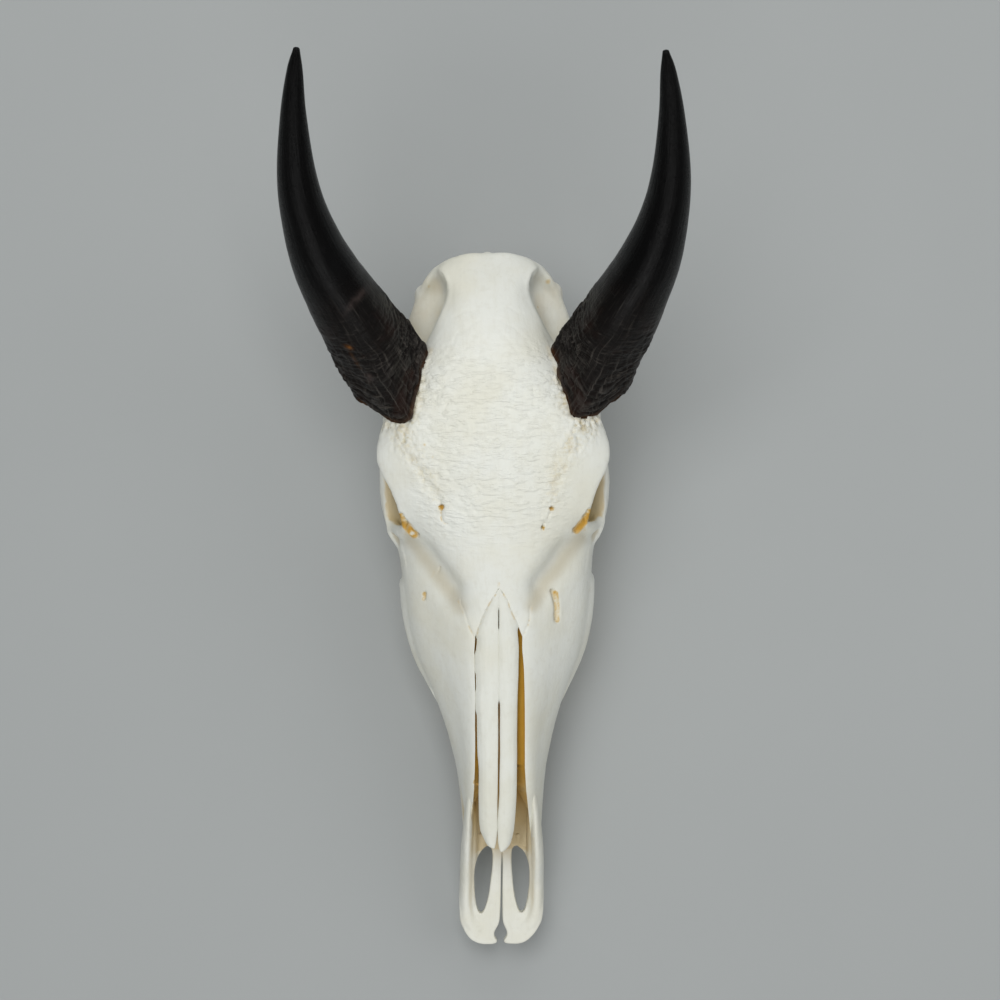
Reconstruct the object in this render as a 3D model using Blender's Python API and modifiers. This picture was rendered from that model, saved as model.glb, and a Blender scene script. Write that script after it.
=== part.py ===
# Nilgai skull with horns and no lower jaw, resting on its cheek teeth and the two processes behind.
# X is across the skull, the muzzle points to -Y and Z is up. Sizes below are in millimetres.
# Stations count along the skull from the muzzle tip: the second number of every point.
# Left and right are the animal's own sides, and its left side is +X.

import bmesh
import bpy
import numpy as np

MM = 0.001
MIDDLE_STATION = 238.0
JOINT_GAP = 0.3

BODY_VOXEL = 1.6
SMALL_VOXEL = 0.8
WELD = 0.12
FIRST_TRIANGLES = 24000
CRANIUM_TRIANGLES = 3900
PREMAXILLA_TRIANGLES = 300
BODY_SMOOTHING = 5
SMALL_SMOOTHING = 4
HEAD_SPACING = 3.0

# Half sections of the head, from the top midline to the bottom midline, as (half width, height).
HEAD_SECTIONS = {
    62: [(0, 50), (7, 50), (13, 50), (17, 48), (19.5, 45), (21.3, 41),
         (22, 37), (22, 33), (21, 29), (18.5, 26), (9, 25), (0, 26)],
    80: [(0, 68), (8, 68), (14, 67.5), (17.8, 64), (20.3, 58), (21.9, 51),
         (22.8, 44), (22.8, 37), (21.5, 30), (18.5, 25), (9, 23.5), (0, 25)],
    100: [(0, 82), (8, 82), (14, 81.5), (17.8, 78), (20.8, 70), (23.2, 60),
          (24.5, 50), (24.5, 41), (23, 31), (19, 24), (9, 22.5), (0, 25)],
    125: [(0, 91), (8, 91), (14, 90.5), (19, 85), (23, 76), (27, 66),
          (29.5, 55), (29.5, 45), (28, 33), (23, 23), (11, 22), (0, 26)],
    150: [(0, 99), (8, 99), (15, 97.5), (22, 90.5), (28, 81), (34, 70),
          (37.5, 59), (37.5, 48), (35.5, 35), (30, 24), (14, 23), (0, 27)],
    175: [(0, 106), (8, 105.7), (16, 103.5), (24, 97), (33, 87), (41.5, 75.5),
          (46.5, 64), (47, 52), (43, 38), (36, 25), (17, 24), (0, 28)],
    200: [(0, 113.5), (9, 113), (18, 110), (27, 103), (37, 93), (46.5, 82),
          (51, 70), (51.5, 58), (46, 42), (39, 27), (19, 25), (0, 29)],
    220: [(0, 121), (10, 120.5), (21, 117.5), (32, 110.5), (41, 101), (48, 90),
          (52, 78), (53, 65), (47, 46), (40, 30), (20, 27), (0, 30)],
    238: [(0, 127), (11, 126.5), (24, 123.5), (37, 117), (46, 108), (50, 98),
          (53.5, 86), (55, 72), (47, 52), (38, 35), (20, 30), (0, 33)],
    248: [(0, 130), (12, 129.5), (26, 126.5), (40, 121), (49, 113.5), (44, 105),
          (36, 96), (33, 82), (32, 66), (30, 46), (18, 38), (0, 41)],
    265: [(0, 133.5), (13, 133), (28, 130), (43, 126), (56, 119), (50, 113),
          (30, 104), (22, 90), (20, 72), (19, 52), (12, 44), (0, 46)],
    282: [(0, 136), (14, 135.5), (29, 133), (45, 129.5), (61, 121), (55, 114),
          (34, 106), (24, 92), (21, 74), (19, 54), (12, 46), (0, 48)],
    296: [(0, 137.5), (14, 137), (29, 135), (44, 131), (57, 121), (51, 113),
          (36, 105), (29, 92), (26, 76), (22, 56), (12, 47), (0, 49)],
    315: [(0, 138.5), (13, 138), (27, 136), (39, 131), (48, 121), (44, 111),
          (37, 103), (35, 92), (34, 78), (29, 58), (13, 47), (0, 48)],
    335: [(0, 137.5), (12, 137), (23, 134), (32, 128), (37, 118), (34, 109),
          (37, 100), (42, 91), (43, 79), (38, 62), (16, 48), (0, 47)],
    352: [(0, 134), (10, 133.5), (19, 131), (27, 125), (28, 116), (27, 107),
          (32, 99), (43, 94), (46, 82), (41, 64), (18, 50), (0, 47)],
    368: [(0, 128.5), (9, 128), (16, 126), (21.5, 120), (21, 112), (22, 104),
          (29, 100), (39, 99), (42, 86), (38, 67), (20, 53), (0, 50)],
    379: [(0, 122.5), (9, 122.5), (18, 121.5), (28, 118), (29, 112), (29, 106),
          (31, 103), (33.5, 99), (35, 88), (32, 72), (18, 60), (0, 56)],
    386: [(0, 118.5), (8, 118.5), (15, 117.5), (22, 114), (24, 109), (25, 102),
          (26, 94), (26, 88), (25, 80), (22, 72), (12, 66), (0, 64)],
    389: [(0, 116), (6, 116), (11, 115), (16, 112), (18, 107), (19, 100),
          (20, 94), (20, 88), (19, 80), (17, 74), (9, 69), (0, 67)],
}
OCCIPUT_LEAN = 0.16
CREST_HEIGHT = 118
OCCIPUT_START = 362

# Bars of bone as paths: centre (x, station, z), then half thickness across and half height.
CHEEK_ARCH = [
    ((44, 196, 60), 7, 9), ((51, 216, 66), 6, 11), ((57.5, 236, 71), 5, 11),
    ((61.5, 256, 71), 3.8, 9), ((62.5, 276, 73), 3.6, 8), ((61, 296, 77), 3.6, 7.5),
    ((57, 316, 77), 3.8, 6.8), ((50, 332, 76), 6, 7), ((40, 344, 78), 9, 9),
]
EYE_RIM = [
    ((55.5, 262, 119), 3, 3), ((60.5, 277, 119), 3.2, 3.4), ((62.3, 289, 110), 3.2, 4.6),
    ((62.8, 292, 96), 3, 5.4), ((62.8, 286, 82), 3, 5), ((63, 268, 76), 2.8, 4),
    ((60.5, 252, 77), 2.8, 4), ((54.5, 242, 87), 3, 4), ((50.2, 240.5, 101), 3, 4),
    ((49.8, 248, 113), 3, 3),
]
CHEEK_SWELLING = [
    ((27, 132, 42), 3, 6), ((35, 150, 44), 4.4, 8), ((43, 170, 49), 5.6, 9),
    ((48, 190, 56), 5.4, 9), ((50.5, 212, 64), 4.4, 9),
]
TEMPORAL_CREST = [
    ((48, 334, 80), 4, 5), ((45, 348, 90), 3.2, 5), ((41, 360, 96), 3, 5),
    ((36, 371, 101), 3, 5), ((30, 380, 108), 3.2, 5), ((20, 386, 114), 3.2, 4),
    ((8, 388, 116), 3, 3.4), ((0, 387.5, 115.6), 3, 3.4),
]
NECK_RIDGES = [
    [((0, 386, 115), 3, 4), ((0, 385.5, 104), 3.4, 4), ((0, 381.5, 90), 2.4, 3)],
    [((36, 369, 98), 4, 5), ((37, 368, 86), 4, 5), ((35.5, 366, 74), 5, 6)],
    [((-36, 369, 98), 4, 5), ((-37, 368, 86), 4, 5), ((-35.5, 366, 74), 5, 6)],
]
JAW_SOCKET = [((34, 322, 71), 6, 6), ((42, 325, 68), 8, 5), ((52, 326, 72), 6, 4.5)]
PTERYGOID_PLATE = [
    ((17, 236, 38), 3, 10), ((15.5, 252, 38), 2, 14), ((14.5, 268, 40), 2, 14),
    ((14, 284, 45), 2.2, 12), ((14, 300, 50), 4, 8),
]
HANGING_PROCESS = [
    ((34, 364, 80), 7, 8), ((34.5, 365, 58), 6.5, 8), ((32.5, 364, 38), 5, 7.4),
    ((29.5, 362, 19), 3.8, 6), ((27, 360, 0.6), 3, 4.2),
]
SKULL_BASE = [((0, 318, 52), 13, 5), ((0, 340, 50), 12, 5), ((0, 360, 50), 12, 6), ((0, 377, 52), 15, 6)]
EAR_BULLA = ((20.5, 338, 43), (9, 15, 14))
EAR_TUBE = [((24, 342, 56), 7, 7), ((36, 345, 63), 5.5, 6), ((45, 347, 67), 4.6, 5)]
OCCIPITAL_KNUCKLE = [
    ((8, 368, 49), 6, 6), ((14, 378, 52), 7.5, 8), ((19.5, 381, 59), 8, 8.5),
    ((19.5, 379, 68), 7, 7.5), ((16, 372, 77), 5, 6),
]
SPINAL_OPENING = ((0, 384, 66), (12, 34, 10))
FOREHEAD_HOLES = [((-27.6, 251.5), 2.0), ((31.7, 249.5), 1.8), ((26.7, 239.5), 1.2)]
FOREHEAD_HOLE_DEPTH = (104, 140)
FOREHEAD_HOLE_LEAN = 4
FACE_SLIT = [((34.4, 186, 97), 1.0, 5), ((33.6, 194, 99), 1.9, 6), ((32.4, 204, 103), 1.3, 5)]
EAR_HOLE = [((48, 348, 68), 2.4, 2.4), ((38, 345.5, 64), 2, 2)]
CHEEK_HOLE = [((40, 141, 52), 4, 5), ((29, 153, 50), 3, 4), ((22, 164, 48), 2, 3)]

# The nose passage: centre height, half width and half height at each station.
NOSE_PASSAGE = [
    (48, 44, 17, 15), (62, 46, 18, 17), (80, 48, 19, 19), (100, 52, 20, 24), (125, 56, 24, 27),
    (150, 60, 28, 29), (175, 64, 30, 30), (200, 67, 30, 29), (222, 66, 27, 26), (238, 60, 20, 20),
    (252, 52, 13, 13), (262, 46, 11, 9), (276, 38, 11, 7), (292, 30, 11, 5),
]
PASSAGE_SPACING = 8.0
PASSAGE_SIDES = 20
PASSAGE_SQUARENESS = 0.8
PASSAGE_ROOF_PINCH = 0.38
# The slot in the roof that holds the two nasal bones: station, edge at -X, edge at +X.
NOSE_SLOT = [
    (45, -17, 17.5), (62, -16.6, 17.2), (76, -15.2, 16.4), (90, -13.4, 15.4), (104, -12.2, 14.8),
    (140, -11.5, 15.4), (166, -11.3, 14.6), (180, -11.2, 14.2), (188, -8.6, 11.9), (196, -4.9, 8.8),
    (203, -0.6, 5.8), (207.5, 2.2, 2.9),
]
NOSE_SLOT_HEIGHTS = (46, 150)

# Nasal bones: station, outer edge, inner edge, height of the crown, thickness.
NASAL_RIGHT = [
    (64, -5.4, -3.6, 73.5, 2.0), (70, -8.9, -2.4, 76, 2.8), (79, -11.1, -1.4, 79.6, 3.4),
    (100, -11.8, -1.2, 87, 3.6), (140, -11.1, -0.2, 98.2, 3.8), (180, -10.7, 1.1, 109, 4.0),
    (190, -7.5, 1.4, 112.2, 4.0), (199, -3.2, 1.7, 115, 4.0), (205, 0.6, 2.0, 117, 3.6),
]
NASAL_LEFT = [
    (62, 3.6, 1.4, 73, 2.0), (68, 6.2, 0.8, 75.5, 2.8), (78, 8.7, -0.6, 79.2, 3.4),
    (100, 10.3, -0.5, 87, 3.6), (140, 11.8, 0.5, 98.2, 3.8), (170, 13.2, 1.5, 106.4, 4.0),
    (181, 13.0, 1.8, 109.4, 4.0), (192, 9.4, 2.1, 112.8, 4.0), (199, 6.9, 2.4, 115, 4.0),
    (205, 4.1, 2.7, 117, 3.6),
]
NASAL_DROP = 3.2
NASAL_FULL_WIDTH = 9
NASAL_SPACING = 30.0
# Share of the width from the outer edge, and share of the drop there.
NASAL_PROFILE = [(0, 1.0), (0.12, 0.62), (0.45, 0.06), (0.8, 0.0), (1.0, 0.22)]

# Muzzle tip bones, left side: the outer bar, the bar beside the slit and the lobe at the front.
OUTER_BAR = [
    ((11, 8.5, 26.5), 6, 4.5), ((18, 14, 27.5), 5.6, 5.2), ((19.6, 25, 29), 4.6, 6.2),
    ((19, 40, 33), 4.3, 8.6), ((19, 58, 42), 4.2, 11.5), ((19, 78, 55), 3.8, 10.5),
    ((18, 100, 71), 3.0, 7),
]
INNER_BAR = [
    ((6, 7, 26), 4, 3.8), ((5.2, 14, 26.5), 5.2, 4), ((4.6, 26, 28), 4.4, 3.4),
    ((4, 42, 29), 3.5, 3.2), ((3.8, 62, 30), 3.3, 3),
]
FRONT_LOBE = [
    ((7, 8, 26), 5.6, 4.2), ((12, 8.5, 26.5), 7.2, 5), ((17, 13, 27.5), 6, 5),
]
MUZZLE_SLIT = 0.7
SLIT_BLOCK = {"width": 40, "stations": (-20, 100), "heights": (0, 60)}

# Horns, on the left side of the head: path centre (x, station, z), half width, half depth.
HORN_PATH = [
    ((50.5, 322, 121.5), 23.2, 24), ((62.5, 341.7, 143), 21.4, 22.5), ((70.3, 354, 158), 19.9, 21),
    ((83.9, 378, 181), 16.2, 17), ((91.5, 400.2, 199), 12.7, 13.2), ((94.5, 421, 215), 10.1, 10.4),
    ((93.9, 447, 235), 6.7, 6.9), ((91.6, 466, 250), 4.0, 4.1), ((89.9, 475.5, 258.5), 1.6, 1.7),
]
LEFT_HORN_LENGTH = 0.972
SHEATH_WALL = 4.0
CORE_SHARE = 0.62
CORE_TIP = {"width": 0.5, "reach": 0.35}
CORE_ROOT = (36, 300, 104)
CORE_ROOT_SHARE = 0.95
PEDICEL_SIDES = 24
PEDICEL_FLARE = 1.0
HORN_SIDES = 16
HORN_STATIONS = 11
HORN_THINNEST = 0.4
HORN_KEEL = 0.096
HORN_KEEL_FADE = 1.5
FRONT_OVERHANG = 5.0
INNER_RISE = 9.0
BASE_SHARE = 0.2

# Cheek teeth, left side: name, centre (x, station), length along the row, width, turn in degrees.
TEETH = [
    ("premolar_2", (25.6, 139.5), 11.6, 10.4, 17),
    ("premolar_3", (29.3, 152.0), 12.6, 12.6, 15),
    ("premolar_4", (32.3, 165.0), 12.4, 14.0, 11),
    ("molar_1", (34.8, 180.6), 17.4, 15.6, 7),
    ("molar_2", (36.5, 200.0), 20.0, 16.6, 3),
    ("molar_3", (36.8, 221.4), 21.4, 16.0, -4),
]
TOOTH_TOP = 31.0
TOOTH_NECK = 22.0
TOOTH_TAPER = 0.86
TOOTH_WORN_EDGE = (0.96, 1.2)
# A crown seen from above: share of the width and of the length, the cheek side first.
TOOTH_OUTLINE = [
    (0.50, 0.50), (0.60, 0.26), (0.48, 0.06), (0.61, -0.02), (0.48, -0.24), (0.58, -0.48),
    (0.10, -0.50), (-0.30, -0.42), (-0.50, -0.20), (-0.40, 0.02), (-0.50, 0.24), (-0.28, 0.46),
]

# Materials: colour and roughness.
FINISHES = {
    "bone": ((0.78, 0.77, 0.69), 0.62),
    "nasal_bone": ((0.74, 0.73, 0.66), 0.6),
    "muzzle_bone": ((0.76, 0.75, 0.68), 0.6),
    "horn": ((0.012, 0.009, 0.008), 0.32),
    "enamel": ((0.70, 0.66, 0.52), 0.4),
}


def clear_scene():
    for obj in list(bpy.data.objects):
        bpy.data.objects.remove(obj, do_unlink=True)


def make_collection(name, hidden=False):
    group = bpy.data.collections.new(name)
    bpy.context.scene.collection.children.link(group)
    group.hide_render = hidden
    return group


def make_material(name):
    colour, roughness = FINISHES[name]
    material = bpy.data.materials.new(name)
    material.use_nodes = True
    shader = material.node_tree.nodes["Principled BSDF"]
    shader.inputs["Base Color"].default_value = (*colour, 1)
    shader.inputs["Roughness"].default_value = roughness
    shader.inputs["Metallic"].default_value = 0
    material.diffuse_color = (*colour, 1)
    return material


def ease_between(stations, values, wanted):
    """Cubic between given values that never swings past them."""
    stations = np.asarray(stations, float)
    values = np.asarray(values, float)
    gaps = np.diff(stations)
    slopes = np.diff(values, axis=0) / gaps.reshape(-1, *[1] * (values.ndim - 1))
    ends = np.empty_like(values)
    product = slopes[:-1] * slopes[1:]
    total = slopes[:-1] + slopes[1:]
    ends[1:-1] = np.where(product > 0, 2 * product / np.where(total == 0, 1, total), 0)
    ends[0] = slopes[0]
    ends[-1] = slopes[-1]
    index = np.clip(np.searchsorted(stations, wanted, side="right") - 1, 0, len(gaps) - 1)
    shape = (-1, *[1] * (values.ndim - 1))
    gap = gaps[index].reshape(shape)
    t = ((wanted - stations[index]) / gaps[index]).reshape(shape)
    start, end = values[index], values[index + 1]
    pull = gap * (t * (1 - t) ** 2 * ends[index] - t * t * (1 - t) * ends[index + 1])
    return start * (1 + 2 * t) * (1 - t) ** 2 + end * t * t * (3 - 2 * t) + pull


def round_loop(points, steps):
    """A smooth closed curve through the points."""
    points = np.asarray(points, float)
    before, after, beyond = (np.roll(points, k, axis=0) for k in (1, -1, -2))
    out = []
    for t in np.arange(steps) / steps:
        out.append(0.5 * (2 * points + (after - before) * t
                          + (2 * before - 5 * points + 4 * after - beyond) * t * t
                          + (3 * points - before - 3 * after + beyond) * t ** 3))
    return np.stack(out, axis=1).reshape(-1, points.shape[1])


def smooth_path(points, steps):
    """A smooth open curve through the points."""
    points = np.asarray(points, float)
    padded = np.vstack([2 * points[0] - points[1], points, 2 * points[-1] - points[-2]])
    out = []
    for k in range(1, len(padded) - 2):
        a, b, c, d = padded[k - 1:k + 3]
        for t in np.arange(steps) / steps:
            out.append(0.5 * (2 * b + (c - a) * t + (2 * a - 5 * b + 4 * c - d) * t * t
                              + (3 * b - a - 3 * c + d) * t ** 3))
    out.append(points[-1])
    return np.array(out)


def to_world(points):
    points = np.asarray(points, float).copy()
    points[..., 1] -= MIDDLE_STATION
    return points * MM


def skin(rings):
    """Vertices and faces of a tube of rings, closed at both ends. Points are (x, station, z)."""
    rings = [np.asarray(ring, float) for ring in rings]
    count = len(rings[0])
    points = list(np.concatenate(rings))
    faces = []
    for k in range(len(rings) - 1):
        for i in range(count):
            j = (i + 1) % count
            faces.append((k * count + i, k * count + j, (k + 1) * count + j, (k + 1) * count + i))
    for k, turned in ((0, True), (len(rings) - 1, False)):
        points.append(rings[k].mean(axis=0))
        hub = len(points) - 1
        for i in range(count):
            j = (i + 1) % count
            face = (hub, k * count + i, k * count + j)
            faces.append(face[::-1] if turned else face)
    return np.array(points), faces


def mirrored(shape):
    points, faces = shape
    return points * (-1, 1, 1), [face[::-1] for face in faces]


def both_sides(shape):
    return [shape, mirrored(shape)]


def make_object(name, shapes, group, material=None):
    """One mesh object from several (points, faces) shapes, every face turned outward."""
    mesh = bpy.data.meshes.new(name)
    points, faces = [], []
    for shape_points, shape_faces in shapes:
        start = len(points)
        points.extend(map(tuple, to_world(shape_points)))
        faces.extend(tuple(start + i for i in face) for face in shape_faces)
    mesh.from_pydata(points, [], faces)
    work = bmesh.new()
    work.from_mesh(mesh)
    bmesh.ops.recalc_face_normals(work, faces=work.faces)
    bmesh.ops.triangulate(work, faces=work.faces)
    work.to_mesh(mesh)
    work.free()
    obj = bpy.data.objects.new(name, mesh)
    group.objects.link(obj)
    if material:
        mesh.materials.append(material)
    return obj


def settle(obj):
    """Replaces the mesh by the one its modifiers make."""
    bpy.context.view_layer.update()
    graph = bpy.context.evaluated_depsgraph_get()
    mesh = bpy.data.meshes.new_from_object(obj.evaluated_get(graph))
    obj.modifiers.clear()
    obj.data = mesh
    return obj


def melt(obj, voxel, passes, triangles):
    """Joins crossing closed shapes into one skin, smooths it and thins it out."""
    remesh = obj.modifiers.new("join", "REMESH")
    remesh.mode = "VOXEL"
    remesh.voxel_size = voxel * MM
    smooth = obj.modifiers.new("smooth", "SMOOTH")
    smooth.factor = 0.5
    smooth.iterations = passes
    settle(obj)
    thin_out(obj, triangles)
    return obj


def thin_out(obj, triangles):
    work = bmesh.new()
    work.from_mesh(obj.data)
    bmesh.ops.remove_doubles(work, verts=work.verts, dist=WELD * MM)
    bmesh.ops.dissolve_degenerate(work, edges=work.edges, dist=WELD * MM / 2)
    work.to_mesh(obj.data)
    work.free()
    obj.data.calc_loop_triangles()
    thin = obj.modifiers.new("thin", "DECIMATE")
    thin.ratio = min(1.0, triangles / len(obj.data.loop_triangles))
    settle(obj)


def combine(obj, other, operation):
    change = obj.modifiers.new(operation.lower(), "BOOLEAN")
    change.operation = operation
    change.solver = "EXACT"
    change.object = other
    settle(obj)


def drop_crumbs(obj):
    """Keeps the largest connected body and removes slivers that a cut has left loose."""
    work = bmesh.new()
    work.from_mesh(obj.data)
    left = set(work.verts)
    bodies = []
    while left:
        seed = left.pop()
        body, front = {seed}, [seed]
        while front:
            vert = front.pop()
            for edge in vert.link_edges:
                other = edge.other_vert(vert)
                if other in left:
                    left.remove(other)
                    body.add(other)
                    front.append(other)
        bodies.append(body)
    bodies.sort(key=len)
    crumbs = [vert for body in bodies[:-1] for vert in body]
    bmesh.ops.delete(work, geom=crumbs, context="VERTS")
    work.to_mesh(obj.data)
    work.free()


def grown(source, name, group, amount=JOINT_GAP):
    """A copy of a piece, larger by the joint gap all round, for cutting its seat."""
    obj = bpy.data.objects.new(name, source.data.copy())
    group.objects.link(obj)
    grow = obj.modifiers.new("grow", "DISPLACE")
    grow.mid_level = 0
    grow.strength = amount * MM
    settle(obj)
    return obj


def hide_cutters(group):
    for obj in group.objects:
        obj.hide_render = True
        obj.display_type = "WIRE"


def head_rings(spacing, steps):
    stations = sorted(HEAD_SECTIONS)
    table = np.array([HEAD_SECTIONS[k] for k in stations], float)
    wanted = np.arange(stations[0], stations[-1] + 0.01, spacing)
    rings = []
    for station, half in zip(wanted, ease_between(stations, table, wanted)):
        loop = np.vstack([half, half[-2:0:-1] * (-1, 1)])
        loop = round_loop(loop, steps)
        share = max(0.0, (station - OCCIPUT_START) / (stations[-1] - OCCIPUT_START))
        back = OCCIPUT_LEAN * share * (CREST_HEIGHT - loop[:, 1])
        rings.append(np.column_stack([loop[:, 0], station - back, loop[:, 1]]))
    return rings


def frames(centres, up=(0, 0, 1)):
    """Unit side and upright directions along a path."""
    tangents = np.gradient(centres, axis=0)
    tangents /= np.linalg.norm(tangents, axis=1, keepdims=True)
    side = np.cross(tangents, up)
    side /= np.linalg.norm(side, axis=1, keepdims=True)
    return tangents, side, np.cross(side, tangents)


def bar(path, steps=4, sides=16, up=(0, 0, 1), loop=False):
    """A bar of oval section along a path."""
    rows = np.array([(*centre, across, high) for centre, across, high in path], float)
    if loop:
        rows = round_loop(rows, steps)
        rows = np.vstack([rows, rows[:1]])
    else:
        rows = smooth_path(rows, steps)
    centres = rows[:, :3]
    _, side, high = frames(centres, up)
    angles = np.arange(sides) * 2 * np.pi / sides
    rings = [
        centre + np.outer(np.cos(angles), a * row[3]) + np.outer(np.sin(angles), b * row[4])
        for centre, a, b, row in zip(centres, side, high, rows)
    ]
    return skin(rings)


def egg(centre, radii, sides=24):
    angles = np.linspace(0, np.pi, sides // 2 + 1)[1:-1]
    turns = np.arange(sides) * 2 * np.pi / sides
    rings = [
        np.column_stack([
            centre[0] + radii[0] * np.sin(a) * np.cos(turns),
            np.full(sides, centre[1] - radii[1] * np.cos(a)),
            centre[2] + radii[2] * np.sin(a) * np.sin(turns),
        ])
        for a in angles
    ]
    points, faces = skin(rings)
    points[-2, 1] = centre[1] - radii[1]
    points[-1, 1] = centre[1] + radii[1]
    return points, faces


def horn_rows(stations, length_share=1.0):
    """Centre, half width and half depth along the horn, evenly spread by share of its length."""
    rows = smooth_path([(*c, a, b) for c, a, b in HORN_PATH], 8)
    run = np.concatenate([[0], np.cumsum(np.linalg.norm(np.diff(rows[:, :3], axis=0), axis=1))])
    wanted = np.linspace(0, run[-1], stations)
    rows = np.column_stack([np.interp(wanted, run, column) for column in rows.T])
    if length_share != 1.0:
        rows[:, :3] = rows[0, :3] + (rows[:, :3] - rows[0, :3]) * length_share
    return rows


def horn_rings(rows, shrink, sides=HORN_SIDES, end=None):
    """Rings that are keeled in front at the base and round at the tip."""
    tangents, side, front = frames(rows[:, :3], up=(0, 0.2, 1))
    angles = np.arange(sides) * 2 * np.pi / sides
    rings = []
    last = len(rows) - 1
    for k in range(len(rows) if end is None else end):
        share = k / last
        keel = HORN_KEEL * (1 - share) ** HORN_KEEL_FADE
        radius = 1 + keel * np.cos(3 * (angles - np.pi / 2))
        across = max(rows[k, 3] - shrink, HORN_THINNEST) * radius * np.cos(angles)
        ahead = max(rows[k, 4] - shrink, HORN_THINNEST) * radius * np.sin(angles)
        fade = max(0.0, 1 - share / BASE_SHARE)
        slide = -FRONT_OVERHANG * fade * np.sin(angles)
        lift = -INNER_RISE * fade * np.cos(angles)
        ring = (rows[k, :3] + np.outer(across, side[k]) + np.outer(ahead, front[k])
                + np.outer(slide, tangents[k]))
        ring[:, 2] += lift
        rings.append(ring)
    return rings


def horn_sheath(length_share):
    """A hollow cone: out along the outside, back along the inside."""
    rows = horn_rows(HORN_STATIONS, length_share)
    outside = horn_rings(rows, 0)
    inner_end = int(round(CORE_SHARE * (HORN_STATIONS - 1))) + 2
    inside = horn_rings(rows, SHEATH_WALL, end=inner_end)
    count = HORN_SIDES
    points = list(np.concatenate(inside[::-1] + outside))
    faces = []
    rings = len(inside) + len(outside)
    for k in range(rings - 1):
        for i in range(count):
            j = (i + 1) % count
            faces.append((k * count + i, k * count + j, (k + 1) * count + j, (k + 1) * count + i))
    for ring in (0, rings - 1):
        points.append(np.mean(points[ring * count:(ring + 1) * count], axis=0))
        hub = len(points) - 1
        faces.extend((hub, ring * count + i, ring * count + (i + 1) % count) for i in range(count))
    return np.array(points), faces


def horn_core(length_share):
    """The bony core inside the sheath, rooted in the forehead."""
    rows = horn_rows(HORN_STATIONS, length_share)
    end = int(round(CORE_SHARE * (HORN_STATIONS - 1))) + 1
    rings = horn_rings(rows, SHEATH_WALL + JOINT_GAP * 2, end=end)
    tip = rings[-1].mean(axis=0)
    step = tip - rings[-2].mean(axis=0)
    rings.append(tip + (rings[-1] - tip) * CORE_TIP["width"] + step * CORE_TIP["reach"])
    middle = rings[0].mean(axis=0)
    rings.insert(0, np.asarray(CORE_ROOT) + (rings[0] - middle) * CORE_ROOT_SHARE)
    return skin(rings)


def pedicel(length_share):
    """The stump of forehead bone that the sheath sits on."""
    rows = horn_rows(HORN_STATIONS, length_share)
    ring = horn_rings(rows, -PEDICEL_FLARE, sides=PEDICEL_SIDES, end=1)[0]
    middle = ring.mean(axis=0)
    axis = middle - np.asarray(CORE_ROOT)
    axis /= np.linalg.norm(axis)
    low = np.asarray(CORE_ROOT) + (ring - middle) * CORE_ROOT_SHARE
    return skin([low, (low + ring) / 2 - axis, ring - axis])


def nose_passage():
    stations = [row[0] for row in NOSE_PASSAGE]
    wanted = np.arange(stations[0], stations[-1] + 0.01, PASSAGE_SPACING)
    rows = ease_between(stations, np.array(NOSE_PASSAGE, float)[:, 1:], wanted)
    angles = np.arange(PASSAGE_SIDES) * 2 * np.pi / PASSAGE_SIDES
    unit_x = np.sign(np.cos(angles)) * np.abs(np.cos(angles)) ** PASSAGE_SQUARENESS
    unit_z = np.sign(np.sin(angles)) * np.abs(np.sin(angles)) ** PASSAGE_SQUARENESS
    unit_x = unit_x * (1 - PASSAGE_ROOF_PINCH * np.clip(unit_z, 0, 1))
    rings = []
    for station, (z, wide, high) in zip(wanted, rows):
        x, y = wide * unit_x, high * unit_z
        rings.append(np.column_stack([x, np.full(len(x), station), z + y]))
    return skin(rings)


def nose_slot():
    rings = []
    low, high = NOSE_SLOT_HEIGHTS
    for station, near, far in NOSE_SLOT:
        rings.append(np.array([(near, station, high), (near, station, low),
                               (far, station, low), (far, station, high)]))
    return skin(rings)


def nasal_bone(rows):
    rows = np.array(rows, float)
    inner_stations = rows[1:-1, 0]
    wanted = np.union1d(rows[:, 0], np.arange(inner_stations[0], inner_stations[-1], NASAL_SPACING))
    values = ease_between(rows[:, 0], rows[:, 1:], wanted)
    rings = []
    across, drop = np.array(NASAL_PROFILE).T
    for station, (outer, inner, crown, thick) in zip(wanted, values):
        x = outer + (inner - outer) * across
        fall = NASAL_DROP * min(1.0, abs(inner - outer) / NASAL_FULL_WIDTH)
        top = crown - fall * drop
        ring = [(a, station, b) for a, b in zip(x, top)]
        ring += [(a, station, b - thick) for a, b in zip(x[::-1], top[::-1])]
        rings.append(np.array(ring))
    return skin(rings)


def face_holes():
    low, high = FOREHEAD_HOLE_DEPTH
    holes = [
        bar([((x, station + FOREHEAD_HOLE_LEAN, low), r, r), ((x, station, high), r, r)],
            steps=1, sides=8, up=(0, 1, 0))
        for (x, station), r in FOREHEAD_HOLES
    ]
    return holes + [bar(FACE_SLIT, steps=1, sides=8)]


def half_space(side):
    """A block that keeps one side of the muzzle slit clear."""
    sides = (side * MUZZLE_SLIT / 2, -side * SLIT_BLOCK["width"])
    corners = [(x, s, z) for x in sides for s in SLIT_BLOCK["stations"] for z in SLIT_BLOCK["heights"]]
    faces = [(0, 1, 3, 2), (4, 6, 7, 5), (0, 4, 5, 1), (2, 3, 7, 6), (0, 2, 6, 4), (1, 5, 7, 3)]
    return np.array(corners, float), faces


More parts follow.
